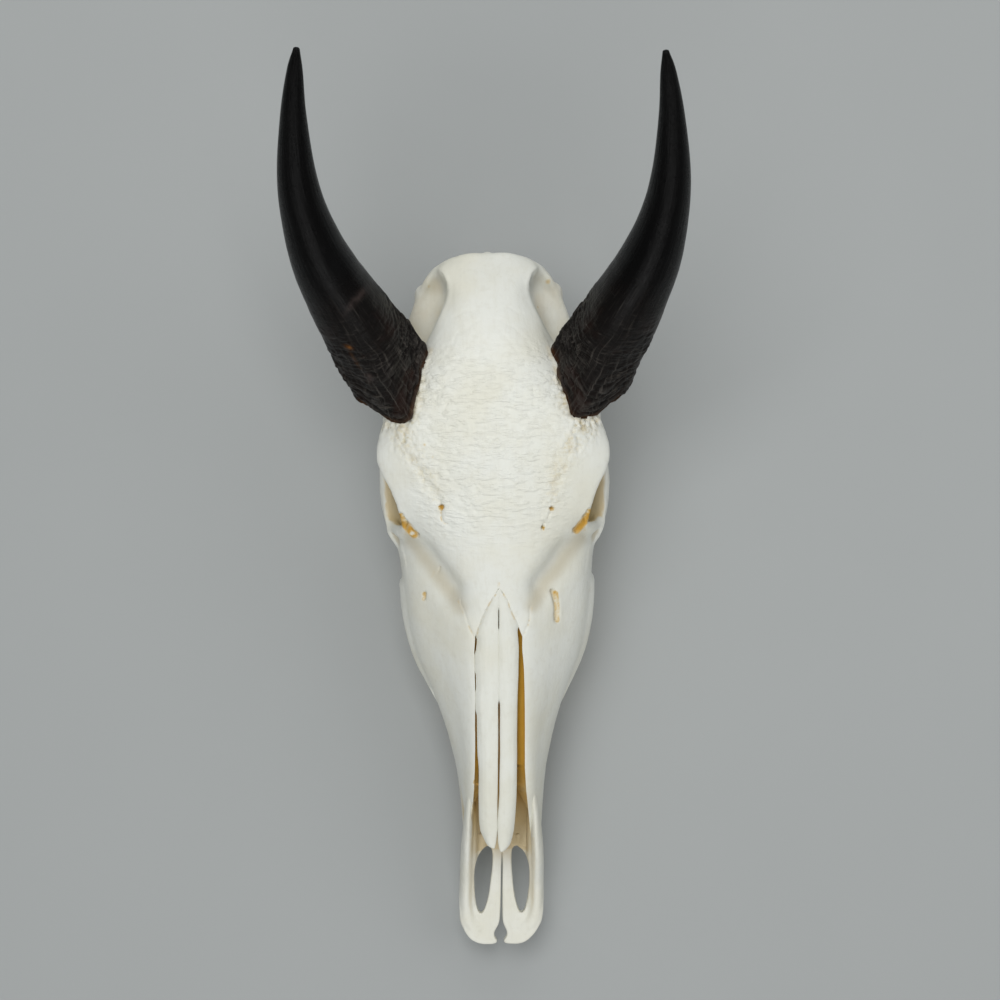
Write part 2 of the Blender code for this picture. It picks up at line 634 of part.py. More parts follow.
def tooth(centre, length, width, turn):
    """A crown with two ribs and a fold outside, worn flat where it meets the table."""
    outline = np.array(TOOTH_OUTLINE)
    angle = np.radians(turn)
    spin = np.array([(np.cos(angle), -np.sin(angle)), (np.sin(angle), np.cos(angle))])
    rings = []
    worn, edge = TOOTH_WORN_EDGE
    for z, scale in ((0, worn), (edge, 1.0), (TOOTH_NECK, 1.0), (TOOTH_TOP, TOOTH_TAPER)):
        flat = outline * (width, length) * scale @ spin + centre
        rings.append(np.column_stack([flat, np.full(len(flat), z)]))
    return skin(rings)


def build_teeth(group, material):
    teeth = []
    for name, centre, length, width, turn in TEETH:
        shape = tooth(centre, length, width, turn)
        teeth.append(make_object(name + "_left", [shape], group, material))
        teeth.append(make_object(name + "_right", [mirrored(shape)], group, material))
    return teeth


def build_nasals(group, material):
    left = make_object("nasal_bone_left", [nasal_bone(NASAL_LEFT)], group, material)
    right = make_object("nasal_bone_right", [nasal_bone(NASAL_RIGHT)], group, material)
    return [left, right]


def build_premaxillae(group, cutters, material):
    pieces = []
    for side, name in ((1, "left"), (-1, "right")):
        shapes = [bar(path) for path in (OUTER_BAR, INNER_BAR, FRONT_LOBE)]
        if side < 0:
            shapes = [mirrored(shape) for shape in shapes]
        piece = make_object("premaxilla_" + name, shapes, group, material)
        melt(piece, SMALL_VOXEL, SMALL_SMOOTHING, PREMAXILLA_TRIANGLES)
        block = make_object("slit_" + name, [half_space(side)], cutters)
        combine(piece, block, "DIFFERENCE")
        pieces.append(piece)
    return pieces


def build_horns(group, material):
    left = make_object("horn_sheath_left", [horn_sheath(LEFT_HORN_LENGTH)], group, material)
    right = make_object("horn_sheath_right", [mirrored(horn_sheath(1.0))], group, material)
    return [left, right]


def cranium_shapes():
    shapes = [skin(head_rings(HEAD_SPACING, 4))]
    for path in (CHEEK_ARCH, CHEEK_SWELLING, TEMPORAL_CREST, JAW_SOCKET, PTERYGOID_PLATE, EAR_TUBE):
        shapes += both_sides(bar(path))
    shapes += both_sides(bar(HANGING_PROCESS, up=(0, 1, 0)))
    shapes += [bar(path, up=(0, 1, 0)) for path in NECK_RIDGES]
    shapes += both_sides(bar(EYE_RIM, up=(1, 0, 0), loop=True))
    shapes += both_sides(egg(*EAR_BULLA)) + both_sides(bar(OCCIPITAL_KNUCKLE))
    shapes += [bar(SKULL_BASE), pedicel(LEFT_HORN_LENGTH), mirrored(pedicel(1.0))]
    return shapes


def build_cranium(group, cutters, material, fitted):
    cranium = make_object("cranium", cranium_shapes(), group, material)
    melt(cranium, BODY_VOXEL, BODY_SMOOTHING, FIRST_TRIANGLES)
    nose = make_object("nose_passage", [nose_passage()], cutters)
    combine(nose, make_object("nose_slot", [nose_slot()], cutters), "UNION")
    combine(cranium, nose, "DIFFERENCE")
    hollows = {
        "spinal_opening": [egg(*SPINAL_OPENING)],
        "ear_holes": both_sides(bar(EAR_HOLE, steps=1, sides=8)),
        "cheek_holes": both_sides(bar(CHEEK_HOLE, steps=2, sides=8)),
    }
    for name, shapes in hollows.items():
        combine(cranium, make_object(name, shapes, cutters), "DIFFERENCE")
    drop_crumbs(cranium)
    thin_out(cranium, CRANIUM_TRIANGLES)
    combine(cranium, make_object("face_holes", face_holes(), cutters), "DIFFERENCE")
    cores = [horn_core(LEFT_HORN_LENGTH), mirrored(horn_core(1.0))]
    combine(cranium, make_object("horn_cores", cores, cutters), "UNION")
    for piece in fitted:
        combine(cranium, grown(piece, piece.name + "_seat", cutters), "DIFFERENCE")
    drop_crumbs(cranium)
    return cranium


def shade_smooth(obj):
    for face in obj.data.polygons:
        face.use_smooth = True


def build():
    clear_scene()
    parts = make_collection("nilgai_skull")
    cutters = make_collection("cutters", hidden=True)
    finish = {name: make_material(name) for name in FINISHES}
    horns = build_horns(parts, finish["horn"])
    nasals = build_nasals(parts, finish["nasal_bone"])
    muzzles = build_premaxillae(parts, cutters, finish["muzzle_bone"])
    teeth = build_teeth(parts, finish["enamel"])
    fitted = horns + nasals + muzzles + teeth
    cranium = build_cranium(parts, cutters, finish["bone"], fitted)
    for obj in horns + [cranium] + nasals + muzzles:
        shade_smooth(obj)
    hide_cutters(cutters)


build()
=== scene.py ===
# Nilgai skull with its horns and without the lower jaw, lying on a pale floor.
# X runs across the skull, the muzzle points to -Y and Z is up.
# Tables are in millimetres. The second number of a point is its station: how far it is
# from the tip of the muzzle. Left and right are the animal's own, and its left is +X.

import bmesh
import bpy
import numpy as np
from mathutils import Matrix, Vector


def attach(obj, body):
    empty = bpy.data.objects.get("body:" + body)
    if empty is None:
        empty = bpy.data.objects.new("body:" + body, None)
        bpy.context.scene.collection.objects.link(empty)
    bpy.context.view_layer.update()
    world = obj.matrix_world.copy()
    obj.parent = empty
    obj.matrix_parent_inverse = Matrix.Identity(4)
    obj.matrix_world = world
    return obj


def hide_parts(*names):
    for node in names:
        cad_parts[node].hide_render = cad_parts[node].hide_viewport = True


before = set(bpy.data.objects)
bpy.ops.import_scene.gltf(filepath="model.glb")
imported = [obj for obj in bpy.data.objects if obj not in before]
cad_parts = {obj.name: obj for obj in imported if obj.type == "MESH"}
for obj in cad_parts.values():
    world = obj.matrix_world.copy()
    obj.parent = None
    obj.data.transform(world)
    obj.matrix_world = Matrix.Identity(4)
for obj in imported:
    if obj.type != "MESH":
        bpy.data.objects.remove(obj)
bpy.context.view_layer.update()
print("frame loaded:", len(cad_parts), "nodes")

mm = 0.001
middleStation = 238.0
# the middle of the skull lies a little to one side: stations, and how far
sideShift = ([5, 12, 22, 52, 80, 103, 200, 270, 300, 315], [-0.9, -0.4, 0.0, 1.0, 1.5, 1.6, 1.4, 1.1, 0.4, 0])


# shapes made of rings

def easeBetween(stations, values, wanted):
    # cubic between given values that never swings past them
    stations = np.asarray(stations, float)
    values = np.asarray(values, float)
    gaps = np.diff(stations)
    slopes = np.diff(values, axis=0) / gaps.reshape(-1, *[1] * (values.ndim - 1))
    ends = np.empty_like(values)
    product = slopes[:-1] * slopes[1:]
    total = slopes[:-1] + slopes[1:]
    ends[1:-1] = np.where(product > 0, 2 * product / np.where(total == 0, 1, total), 0)
    ends[0], ends[-1] = slopes[0], slopes[-1]
    index = np.clip(np.searchsorted(stations, wanted, side="right") - 1, 0, len(gaps) - 1)
    shape = (-1, *[1] * (values.ndim - 1))
    gap = gaps[index].reshape(shape)
    t = ((wanted - stations[index]) / gaps[index]).reshape(shape)
    start, end = values[index], values[index + 1]
    pull = gap * (t * (1 - t) ** 2 * ends[index] - t * t * (1 - t) * ends[index + 1])
    return start * (1 + 2 * t) * (1 - t) ** 2 + end * t * t * (3 - 2 * t) + pull


def roundLoop(points, steps):
    # a smooth closed curve through the points
    points = np.asarray(points, float)
    before, after, beyond = (np.roll(points, k, axis=0) for k in (1, -1, -2))
    out = []
    for t in np.arange(steps) / steps:
        out.append(0.5 * (2 * points + (after - before) * t
                          + (2 * before - 5 * points + 4 * after - beyond) * t * t
                          + (3 * points - before - 3 * after + beyond) * t ** 3))
    return np.stack(out, axis=1).reshape(-1, points.shape[1])


def smoothPath(points, steps):
    # a smooth open curve through the points
    points = np.asarray(points, float)
    padded = np.vstack([2 * points[0] - points[1], points, 2 * points[-1] - points[-2]])
    out = []
    for k in range(1, len(padded) - 2):
        a, b, c, d = padded[k - 1:k + 3]
        for t in np.arange(steps) / steps:
            out.append(0.5 * (2 * b + (c - a) * t + (2 * a - 5 * b + 4 * c - d) * t * t
                              + (3 * b - a - 3 * c + d) * t ** 3))
    out.append(points[-1])
    return np.array(out)


def skin(rings):
    # vertices and faces of a tube of rings, closed at both ends
    count = len(rings[0])
    points = list(np.concatenate(rings))
    faces = []
    for k in range(len(rings) - 1):
        for i in range(count):
            j = (i + 1) % count
            faces.append((k * count + i, k * count + j, (k + 1) * count + j, (k + 1) * count + i))
    for k in (0, len(rings) - 1):
        points.append(np.mean(rings[k], axis=0))
        hub = len(points) - 1
        faces.extend((hub, k * count + i, k * count + (i + 1) % count) for i in range(count))
    return np.array(points), faces


def mirrored(shape):
    return shape[0] * (-1, 1, 1), shape[1]


def bothSides(shape):
    return [shape, mirrored(shape)]


def directions(centres, up=(0, 0, 1)):
    # along, sideways and upright at each point of a path
    along = np.gradient(centres, axis=0)
    along /= np.linalg.norm(along, axis=1, keepdims=True)
    side = np.cross(along, up)
    side /= np.linalg.norm(side, axis=1, keepdims=True)
    return along, side, np.cross(side, along)


def bar(path, steps=6, sides=24, up=(0, 0, 1), loop=False):
    # oval bar: each row is ((x, station, z), half thickness across, half height)
    rows = np.array([(*centre, across, high) for centre, across, high in path], float)
    if loop:
        rows = roundLoop(rows, steps)
        rows = np.vstack([rows, rows[:1]])
    else:
        rows = smoothPath(rows, steps)
    _, side, high = directions(rows[:, :3], up)
    turns = np.arange(sides) * 2 * np.pi / sides
    rings = [row[:3] + np.outer(np.cos(turns), a * row[3]) + np.outer(np.sin(turns), b * row[4])
             for row, a, b in zip(rows, side, high)]
    return skin(rings)


def slab(outline, bottom, top, steps=4):
    # upright plate with this outline seen from above. Bottom and top are (station, height)
    flat = roundLoop(outline, steps)
    count = len(flat)
    rings = [np.column_stack([flat, np.interp(flat[:, 1], *np.array(rows, float).T)])
             for rows in (bottom, top)]
    faces = [(i, (i + 1) % count, count + (i + 1) % count, count + i) for i in range(count)]
    return np.vstack(rings), faces + [tuple(range(count)), tuple(range(2 * count - 1, count - 1, -1))]


def egg(centre, radii, sides=32):
    angles = np.linspace(0, np.pi, sides // 2 + 1)[1:-1]
    turns = np.arange(sides) * 2 * np.pi / sides
    rings = [np.column_stack([centre[0] + radii[0] * np.sin(a) * np.cos(turns),
                              np.full(sides, centre[1] - radii[1] * np.cos(a)),
                              centre[2] + radii[2] * np.sin(a) * np.sin(turns)]) for a in angles]
    points, faces = skin(rings)
    points[-2, 1], points[-1, 1] = centre[1] - radii[1], centre[1] + radii[1]
    return points, faces


# meshes

def makeObject(name, shapes):
    # one object from several shapes, every face turned outwards
    points, faces = [], []
    for shapePoints, shapeFaces in shapes:
        start = len(points)
        points.extend(map(tuple, (shapePoints - (0, middleStation, 0)) * mm))
        faces.extend(tuple(start + i for i in face) for face in shapeFaces)
    mesh = bpy.data.meshes.new(name)
    mesh.from_pydata(points, [], faces)
    work = bmesh.new()
    work.from_mesh(mesh)
    bmesh.ops.recalc_face_normals(work, faces=work.faces)
    work.to_mesh(mesh)
    work.free()
    obj = bpy.data.objects.new(name, mesh)
    bpy.context.scene.collection.objects.link(obj)
    return obj


def settle(obj):
    # the shape that the modifiers make becomes the object's own mesh
    bpy.context.view_layer.update()
    mesh = bpy.data.meshes.new_from_object(obj.evaluated_get(bpy.context.evaluated_depsgraph_get()))
    obj.modifiers.clear()
    old, obj.data = obj.data, mesh
    bpy.data.meshes.remove(old)
    mesh.name = obj.name
    return obj


def melt(obj, voxel, passes):
    # crossing closed shapes become one skin, then soften
    join = obj.modifiers.new("join", "REMESH")
    join.mode = "VOXEL"
    join.voxel_size = voxel * mm
    if passes:
        soft = obj.modifiers.new("soften", "SMOOTH")
        soft.factor, soft.iterations = 0.5, passes
    return settle(obj)


def combine(obj, other, operation="DIFFERENCE", solver="MANIFOLD"):
    before = len(obj.data.polygons)
    change = obj.modifiers.new("combine", "BOOLEAN")
    change.operation, change.solver, change.object = operation, solver, other
    settle(obj)
    bpy.data.objects.remove(other)
    print("  ", operation.lower(), before, "->", len(obj.data.polygons), "faces")
    return obj


def thinOut(obj, triangles, hidden=None):
    # fewer triangles, most of them taken where hidden is 1
    obj.data.calc_loop_triangles()
    count = len(obj.data.loop_triangles)
    if count > triangles:
        thin = obj.modifiers.new("thin", "DECIMATE")
        thin.ratio = triangles / count
        if hidden is not None:
            group = obj.vertex_groups.new(name="hidden")
            for level in range(1, 11):
                chosen = np.flatnonzero(np.round(np.clip(hidden, 0.1, 1) * 10) == level)
                group.add(chosen.tolist(), level / 10, "REPLACE")
            thin.vertex_group, thin.vertex_group_factor = group.name, 0.002
        settle(obj)
        obj.vertex_groups.clear()
    return obj


def dropCrumbs(obj):
    # keeps the largest connected body
    mesh = obj.data
    ends = np.empty(len(mesh.edges) * 2, np.int32)
    mesh.edges.foreach_get("vertices", ends)
    ends = ends.reshape(-1, 2)
    label = np.arange(len(mesh.vertices))
    while True:
        low = np.minimum(label[ends[:, 0]], label[ends[:, 1]])
        new = label.copy()
        np.minimum.at(new, ends[:, 0], low)
        np.minimum.at(new, ends[:, 1], low)
        new = new[new]
        if (new == label).all():
            break
        label = new
    names, counts = np.unique(label, return_counts=True)
    if len(names) > 1:
        keep = names[counts.argmax()]
        work = bmesh.new()
        work.from_mesh(mesh)
        work.verts.ensure_lookup_table()
        bmesh.ops.delete(work, geom=[work.verts[i] for i in np.flatnonzero(label != keep)],
                         context="VERTS")
        work.to_mesh(mesh)
        work.free()
        print("   dropped", len(names) - 1, "crumbs")


def readPoints(obj):
    points = np.empty(len(obj.data.vertices) * 3, np.float32)
    obj.data.vertices.foreach_get("co", points)
    return points.reshape(-1, 3).astype(float) / mm + (0, middleStation, 0)


def writePoints(obj, points):
    obj.data.vertices.foreach_set("co", ((points - (0, middleStation, 0)) * mm).astype(np.float32).ravel())
    obj.data.update()


def shiftSideways(obj):
    points = readPoints(obj)
    points[:, 0] += np.interp(points[:, 1], *sideShift)
    writePoints(obj, points)


def readNormals(obj):
    normals = np.empty(len(obj.data.vertices) * 3, np.float32)
    obj.data.vertex_normals.foreach_get("vector", normals)
    return normals.reshape(-1, 3).astype(float)


def readEdges(obj):
    ends = np.empty(len(obj.data.edges) * 2, np.int32)
    obj.data.edges.foreach_get("vertices", ends)
    return ends.reshape(-1, 2)


def soften(values, edges, passes):
    # each pass moves every value halfway to the mean of its neighbours
    values = np.asarray(values, float)
    count = len(values)
    near = np.bincount(edges.ravel(), minlength=count).astype(float)
    columns = values.reshape(count, -1).T.copy()
    for _ in range(passes):
        for column in columns:
            total = np.bincount(edges[:, 0], column[edges[:, 1]], count)
            total += np.bincount(edges[:, 1], column[edges[:, 0]], count)
            column += 0.5 * (total / near - column)
    return columns.T.reshape(values.shape)


def paint(obj, name, values):
    layer = obj.data.attributes.new(name, "FLOAT", "POINT")
    layer.data.foreach_set("value", np.asarray(values, np.float32))


def noiseAt(points, size, seed=0):
    # smooth random field from -1 to 1. Size is one number or one for each axis
    spot = points / np.asarray(size, float)
    cell = np.floor(spot).astype(np.int64)
    t = spot - cell
    t = t * t * (3 - 2 * t)
    total = 0
    for k in range(8):
        corner = np.array([k & 1, k >> 1 & 1, k >> 2 & 1])
        x, y, z = (cell + corner).T
        code = (x * 374761393 + y * 668265263 + z * 2147483629 + seed * 974634777) & 0xffffffff
        code = (code ^ code >> 13) * 1274126177 & 0xffffffff
        code = (code ^ code >> 16) & 0xffff
        total = total + np.prod(np.where(corner, t, 1 - t), axis=1) * (code / 32767.5 - 1)
    return total


def nearPath(points, path):
    # distance to a bent line, and how far along it the nearest spot is, from 0 to 1
    path = np.asarray(path, float)
    best = np.full(len(points), 1e9)
    along = np.zeros(len(points))
    lengths = np.linalg.norm(np.diff(path, axis=0), axis=1)
    run = np.concatenate([[0], np.cumsum(lengths)])
    for k in range(len(path) - 1):
        step = path[k + 1] - path[k]
        t = np.clip((points - path[k]) @ step / (step @ step), 0, 1)
        gap = np.linalg.norm(points - path[k] - t[:, None] * step, axis=1)
        closer = gap < best
        best[closer] = gap[closer]
        along[closer] = ((run[k] + t * lengths[k]) / run[-1])[closer]
    return best, along


def hump(distance, width):
    return np.exp(-(distance / width) ** 2)


def ramp(values, low, high):
    # 0 below low, 1 above high, smooth between
    t = np.clip((values - low) / (high - low), 0, 1)
    return t * t * (3 - 2 * t)


# node graphs, for materials and for geometry

class Wire:
    # a socket that can be used in sums
    def __init__(self, graph, socket):
        self.graph, self.socket = graph, socket

    def math(self, operation, a, b=0.0, c=None):
        inputs = {0: a, 1: b} if c is None else {0: a, 1: b, 2: c}
        return self.graph.add("ShaderNodeMath", {"operation": operation}, inputs)

    def __add__(self, other):
        return self.math("ADD", self, other)

    def __sub__(self, other):
        return self.math("SUBTRACT", self, other)

    def __mul__(self, other):
        return self.math("MULTIPLY", self, other)

    def __truediv__(self, other):
        return self.math("DIVIDE", self, other)

    def __pow__(self, other):
        return self.math("POWER", self, other)

    def __radd__(self, other):
        return self.math("ADD", other, self)

    def __rsub__(self, other):
        return self.math("SUBTRACT", other, self)

    def __rmul__(self, other):
        return self.math("MULTIPLY", other, self)

    def __rtruediv__(self, other):
        return self.math("DIVIDE", other, self)


class Graph:
    def __init__(self, tree):
        self.tree = tree

    def add(self, kind, settings=None, inputs=None, output=0):
        node = self.tree.nodes.new(kind)
        for key, value in (settings or {}).items():
            if key == "stops":
                ramp = node.color_ramp.elements
                while len(ramp) < len(value):
                    ramp.new(1.0)
                for stop, (place, colour) in zip(ramp, value):
                    stop.position, stop.color = place, (*colour, 1)
            else:
                setattr(node, key, value)
        for key, value in (inputs or {}).items():
            self.plug(value, node.inputs[key])
        return Wire(self, node.outputs[output])

    def plug(self, value, socket):
        if isinstance(value, Wire):
            self.tree.links.new(value.socket, socket)
        elif isinstance(value, tuple) and socket.type == "RGBA":
            socket.default_value = (*value, 1)
        else:
            socket.default_value = value

    def mix(self, share, a, b):
        return self.add("ShaderNodeMix", {"data_type": "RGBA"}, {0: share, 6: a, 7: b}, 2)

    def vector(self, operation, a, b=(0.0, 0.0, 0.0)):
        return self.add("ShaderNodeVectorMath", {"operation": operation}, {0: a, 1: b})

    def between(self, value, low, high):
        # 0 at low and 1 at high, smooth between
        return self.add("ShaderNodeMapRange", {"interpolation_type": "SMOOTHSTEP"},
                        {"Value": value, "From Min": low, "From Max": high})

    def noise(self, place, scale, detail=4.0, rough=0.55):
        return self.add("ShaderNodeTexNoise", {},
                        {"Vector": place, "Scale": scale, "Detail": detail, "Roughness": rough})

    def stretched(self, place, scale, turn=(0.0, 0.0, 0.0)):
        return self.add("ShaderNodeMapping", {}, {"Vector": place, "Scale": scale, "Rotation": turn})

    def attribute(self, name, output="Fac"):
        return self.add("ShaderNodeAttribute", {"attribute_name": name}, {}, output)

    def bump(self, height, distance, strength=1.0, normal=None):
        inputs = {"Height": height, "Distance": distance, "Strength": strength}
        if normal:
            inputs["Normal"] = normal
        return self.add("ShaderNodeBump", {}, inputs)


def newMaterial(name, constants):
    # a material with an empty graph: its graph, and a function that links the shader's sockets
    material = bpy.data.materials.new(name)
    material.use_nodes = True
    shader = material.node_tree.nodes["Principled BSDF"]
    for key, value in constants.items():
        shader.inputs[key].default_value = value
    graph = Graph(material.node_tree)

    def wear(**sockets):
        for key, wire in sockets.items():
            graph.plug(wire, shader.inputs[key.replace("_", " ")])

    return material, graph, wear


def dress(obj, material, slot, *nodes):
    # last step of every piece: its material, its place in the frame, and what it stands for
    obj.data.materials.clear()
    obj.data.materials.append(material)
    obj.data.polygons.foreach_set("use_smooth", [True] * len(obj.data.polygons))
    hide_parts(*nodes)
    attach(obj, "root")
    obj.data.calc_loop_triangles()
    print("  ", obj.name, len(obj.data.loop_triangles), "triangles")


# camera, floor and light

studio = {
    "cameraPlace": (0.004, 0.0174, 1.5),
    "aim": (0.004, 0.0174, 0.0),
    "lens": 92.5,
    "turn": 0.0205,             # radians: the skull lies a little askew in the frame
    "floorSize": 10.0,
    "floorColour": (0.375, 0.392, 0.388),
    # name, place, size and watts of each soft lamp
    "lamps": [("key", (-0.2, 0.38, 1.7), 0.9, 13.4), ("fill", (1.2, 0.1, 1.1), 1.1, 3.5),
              ("front", (-0.1, -1.5, 1.1), 1.0, 8.5), ("back", (0.1, 1.5, 1.1), 1.0, 5)],
    "room": 0.26,
}


def buildStudio():
    lens = bpy.data.cameras.new("camera")
    lens.lens, lens.sensor_width = studio["lens"], 36
    lens.clip_start, lens.clip_end = 0.05, 20
    camera = bpy.data.objects.new("camera", lens)
    bpy.context.scene.collection.objects.link(camera)
    back = (Vector(studio["cameraPlace"]) - Vector(studio["aim"])).normalized()
    up = Vector((np.sin(studio["turn"]), np.cos(studio["turn"]), 0))
    right = up.cross(back).normalized()
    up = back.cross(right)
    camera.matrix_world = Matrix.LocRotScale(
        Vector(studio["cameraPlace"]), Matrix((right, up, back)).transposed(), None)
    bpy.context.scene.camera = camera

    half = studio["floorSize"]
    mesh = bpy.data.meshes.new("floor")
    mesh.from_pydata([(-half, -half, 0), (half, -half, 0), (half, half, 0), (-half, half, 0)], [],
                     [(0, 1, 2, 3)])
    floor = bpy.data.objects.new("floor", mesh)
    bpy.context.scene.collection.objects.link(floor)
    material, graph, wear = newMaterial("pale floor", {"Roughness": 0.75})
    place = graph.add("ShaderNodeTexCoord", {}, {}, "Object")
    cloud = graph.noise(place, 5.0, 3.0)
    wear(Base_Color=graph.mix(cloud, studio["floorColour"],
                              tuple(c * 1.06 for c in studio["floorColour"])))
    mesh.materials.append(material)

    # one soft lamp above, weaker ones lower down, and a bright room
    for name, place, size, power in studio["lamps"]:
        lamp = bpy.data.lights.new(name, "AREA")
        lamp.shape, lamp.size, lamp.energy = "SQUARE", size, power
        obj = bpy.data.objects.new(name, lamp)
        obj.location = place
        obj.rotation_euler = (Vector((0, 0, 0.08)) - Vector(place)).to_track_quat("-Z", "Y").to_euler()
        bpy.context.scene.collection.objects.link(obj)
    world = bpy.data.worlds.new("studio")
    world.use_nodes = True
    world.node_tree.nodes["Background"].inputs["Color"].default_value = (0.96, 0.98, 1.0, 1)
    world.node_tree.nodes["Background"].inputs["Strength"].default_value = studio["room"]
    bpy.context.scene.world = world
    bpy.context.scene.view_settings.view_transform = "Standard"


buildStudio()
print("studio ready")

# finishes

def boneFinish(name, pale, warm, roughness=0.52):
    # dry bleached bone: pale with cream clouds, ochre where the stain mask says, pitted and lined where the rough
    # and wrinkle masks say, and darkened with painted shade where the painted-shade mask says
    material, graph, wear = newMaterial(name, {"Roughness": roughness})
    place = graph.add("ShaderNodeTexCoord", {}, {}, "Object")
    stain = graph.attribute("stain")
    rough = graph.attribute("rough")
    hollow = graph.attribute("hollow")
    wrinkle = graph.attribute("wrinkle")

    clouds = graph.between(graph.noise(place, 22.0, 5.0, 0.6), 0.36, 0.68)
    flecks = graph.between(graph.noise(place, 260.0, 3.0, 0.6), 0.5, 0.75)
    streaks = graph.noise(graph.stretched(place, (1.0, 0.12, 0.6)), 420.0, 3.0, 0.6)
    colour = graph.mix(clouds, pale, warm)
    colour = graph.mix(graph.between(streaks, 0.45, 0.8) * 0.3, colour, tuple(c * 0.88 for c in warm))
    colour = graph.mix(flecks * 0.2, colour, (0.62, 0.60, 0.50))
    # painted shade: darker and browner in concave spots and along the face valleys
    colour = graph.mix(graph.between(hollow, 0.15, 0.9) * 0.6, colour, (0.47, 0.40, 0.25))
    specks = graph.between(graph.noise(place, 480.0, 2.0), 0.46, 0.66)
    colour = graph.mix(rough * specks * 0.6, colour, (0.66, 0.60, 0.40))
    tan = graph.mix(graph.noise(place, 60.0, 4.0), (0.63, 0.48, 0.235), (0.68, 0.55, 0.31))
    orange = graph.mix(graph.noise(place, 90.0, 4.0), (0.52, 0.27, 0.026), (0.61, 0.35, 0.05))
    colour = graph.mix(graph.between(stain, 0.0, 0.5), colour, tan)
    colour = graph.mix(graph.between(stain, 0.42, 0.95), colour, orange)

    across = graph.noise(graph.stretched(place, (0.3, 1.0, 1.0)), 420.0, 3.0, 0.5)
    pits = graph.noise(place, 620.0, 3.0, 0.6)
    grain = graph.noise(graph.stretched(place, (1.0, 0.16, 0.8)), 700.0, 4.0, 0.6)
    height = grain * 0.16 + graph.between(across, 0.42, 0.7) * wrinkle * 0.75 + pits * (rough * 1.2 + 0.1)
    wear(Base_Color=colour,
         Roughness=roughness + graph.noise(place, 90.0, 3.0) * 0.16 - 0.06 + rough * 0.12,
         Normal=graph.bump(height, 0.0011, 0.6))
    return material


def hornFinish():
    # dark keratin: near black and glossy at the tip, brown, ridged and duller towards the base
    material, graph, wear = newMaterial("horn keratin", {"Roughness": 0.3, "Specular IOR Level": 0.09})
    grain = graph.attribute("grain", "Vector")
    share = graph.attribute("share")
    ring = graph.attribute("ring")
    amber = graph.attribute("amber")
    pale = graph.attribute("pale")

    blotch = graph.noise(grain, 45.0, 4.0, 0.6)
    base = 1.0 - graph.between(share + (blotch - 0.5) * 0.3, 0.1, 0.46)
    fibres = graph.noise(graph.stretched(grain, (1.0, 1.0, 0.05)), 900.0, 4.0, 0.65)
    growth = graph.noise(graph.stretched(grain, (0.2, 0.2, 1.0)), 620.0, 3.0, 0.6)
    colour = graph.mix(base, (0.0017, 0.0016, 0.0016), (0.007, 0.0055, 0.0048))
    colour = graph.mix(base * graph.between(blotch, 0.48, 0.72), colour, (0.018, 0.0085, 0.006))
    # painted sheen: the ridge tops near the base are painted a paler grey
    colour = graph.mix(base * graph.between(ring, 0.3, 0.95) * 0.42, colour, (0.052, 0.047, 0.042))
    colour = graph.mix(base * graph.between(fibres, 0.52, 0.74) * 0.7, colour, (0.085, 0.076, 0.066))
    colour = graph.mix(base * graph.between(growth, 0.56, 0.78) * 0.5, colour, (0.095, 0.085, 0.073))
    # pale patches: a paler blotch of keratin, and a painted sheen streak
    colour = graph.mix(pale, colour, (0.13, 0.095, 0.085))
    colour = graph.mix(amber, colour, (0.33, 0.125, 0.022))
    height = fibres * 0.5 + growth * base * 0.9 + graph.noise(grain, 1500.0, 2.0) * base * 0.35
    wear(Base_Color=colour,
         Roughness=0.24 + base * 0.16 + graph.noise(grain, 160.0, 3.0) * 0.14 - 0.05,
         Normal=graph.bump(height, 0.0009, 0.6))
    return material


def enamelFinish():
    # worn cheek teeth: cream enamel with brown lines in its folds, browner at the gum line, with painted shade in
    # its pits and folds
    material, graph, wear = newMaterial("tooth enamel", {"Roughness": 0.34})
    place = graph.add("ShaderNodeTexCoord", {}, {}, "Object")
    hollow = graph.attribute("hollow")
    gum = graph.attribute("gum")
    lines = graph.noise(graph.stretched(place, (1.0, 1.0, 0.14)), 650.0, 4.0, 0.6)
    bands = graph.noise(graph.stretched(place, (0.2, 0.2, 1.0)), 520.0, 2.0, 0.5)
    colour = graph.mix(graph.between(lines, 0.35, 0.72), (0.78, 0.74, 0.62), (0.60, 0.51, 0.35))
    colour = graph.mix(gum * graph.between(graph.noise(place, 240.0, 4.0), 0.32, 0.7), colour,
                       (0.36, 0.25, 0.13))
    # painted shade: dark brown where the crown is hollow
    colour = graph.mix(graph.between(hollow, 0.1, 0.8) * 0.8, colour, (0.20, 0.125, 0.06))
    wear(Base_Color=colour,
         Roughness=0.28 + lines * 0.16 + gum * 0.2,
         Normal=graph.bump(lines * 0.5 + bands * 0.6, 0.0006, 0.5))
    return material


boneMaterial = boneFinish("bleached bone", (0.80, 0.812, 0.748), (0.765, 0.757, 0.65))
nasalMaterial = boneFinish("nasal bone", (0.78, 0.79, 0.72), (0.74, 0.735, 0.63), 0.48)
muzzleMaterial = boneFinish("muzzle bone", (0.81, 0.815, 0.745), (0.77, 0.76, 0.65), 0.48)
hornMaterial = hornFinish()
enamelMaterial = enamelFinish()
print("finishes ready")


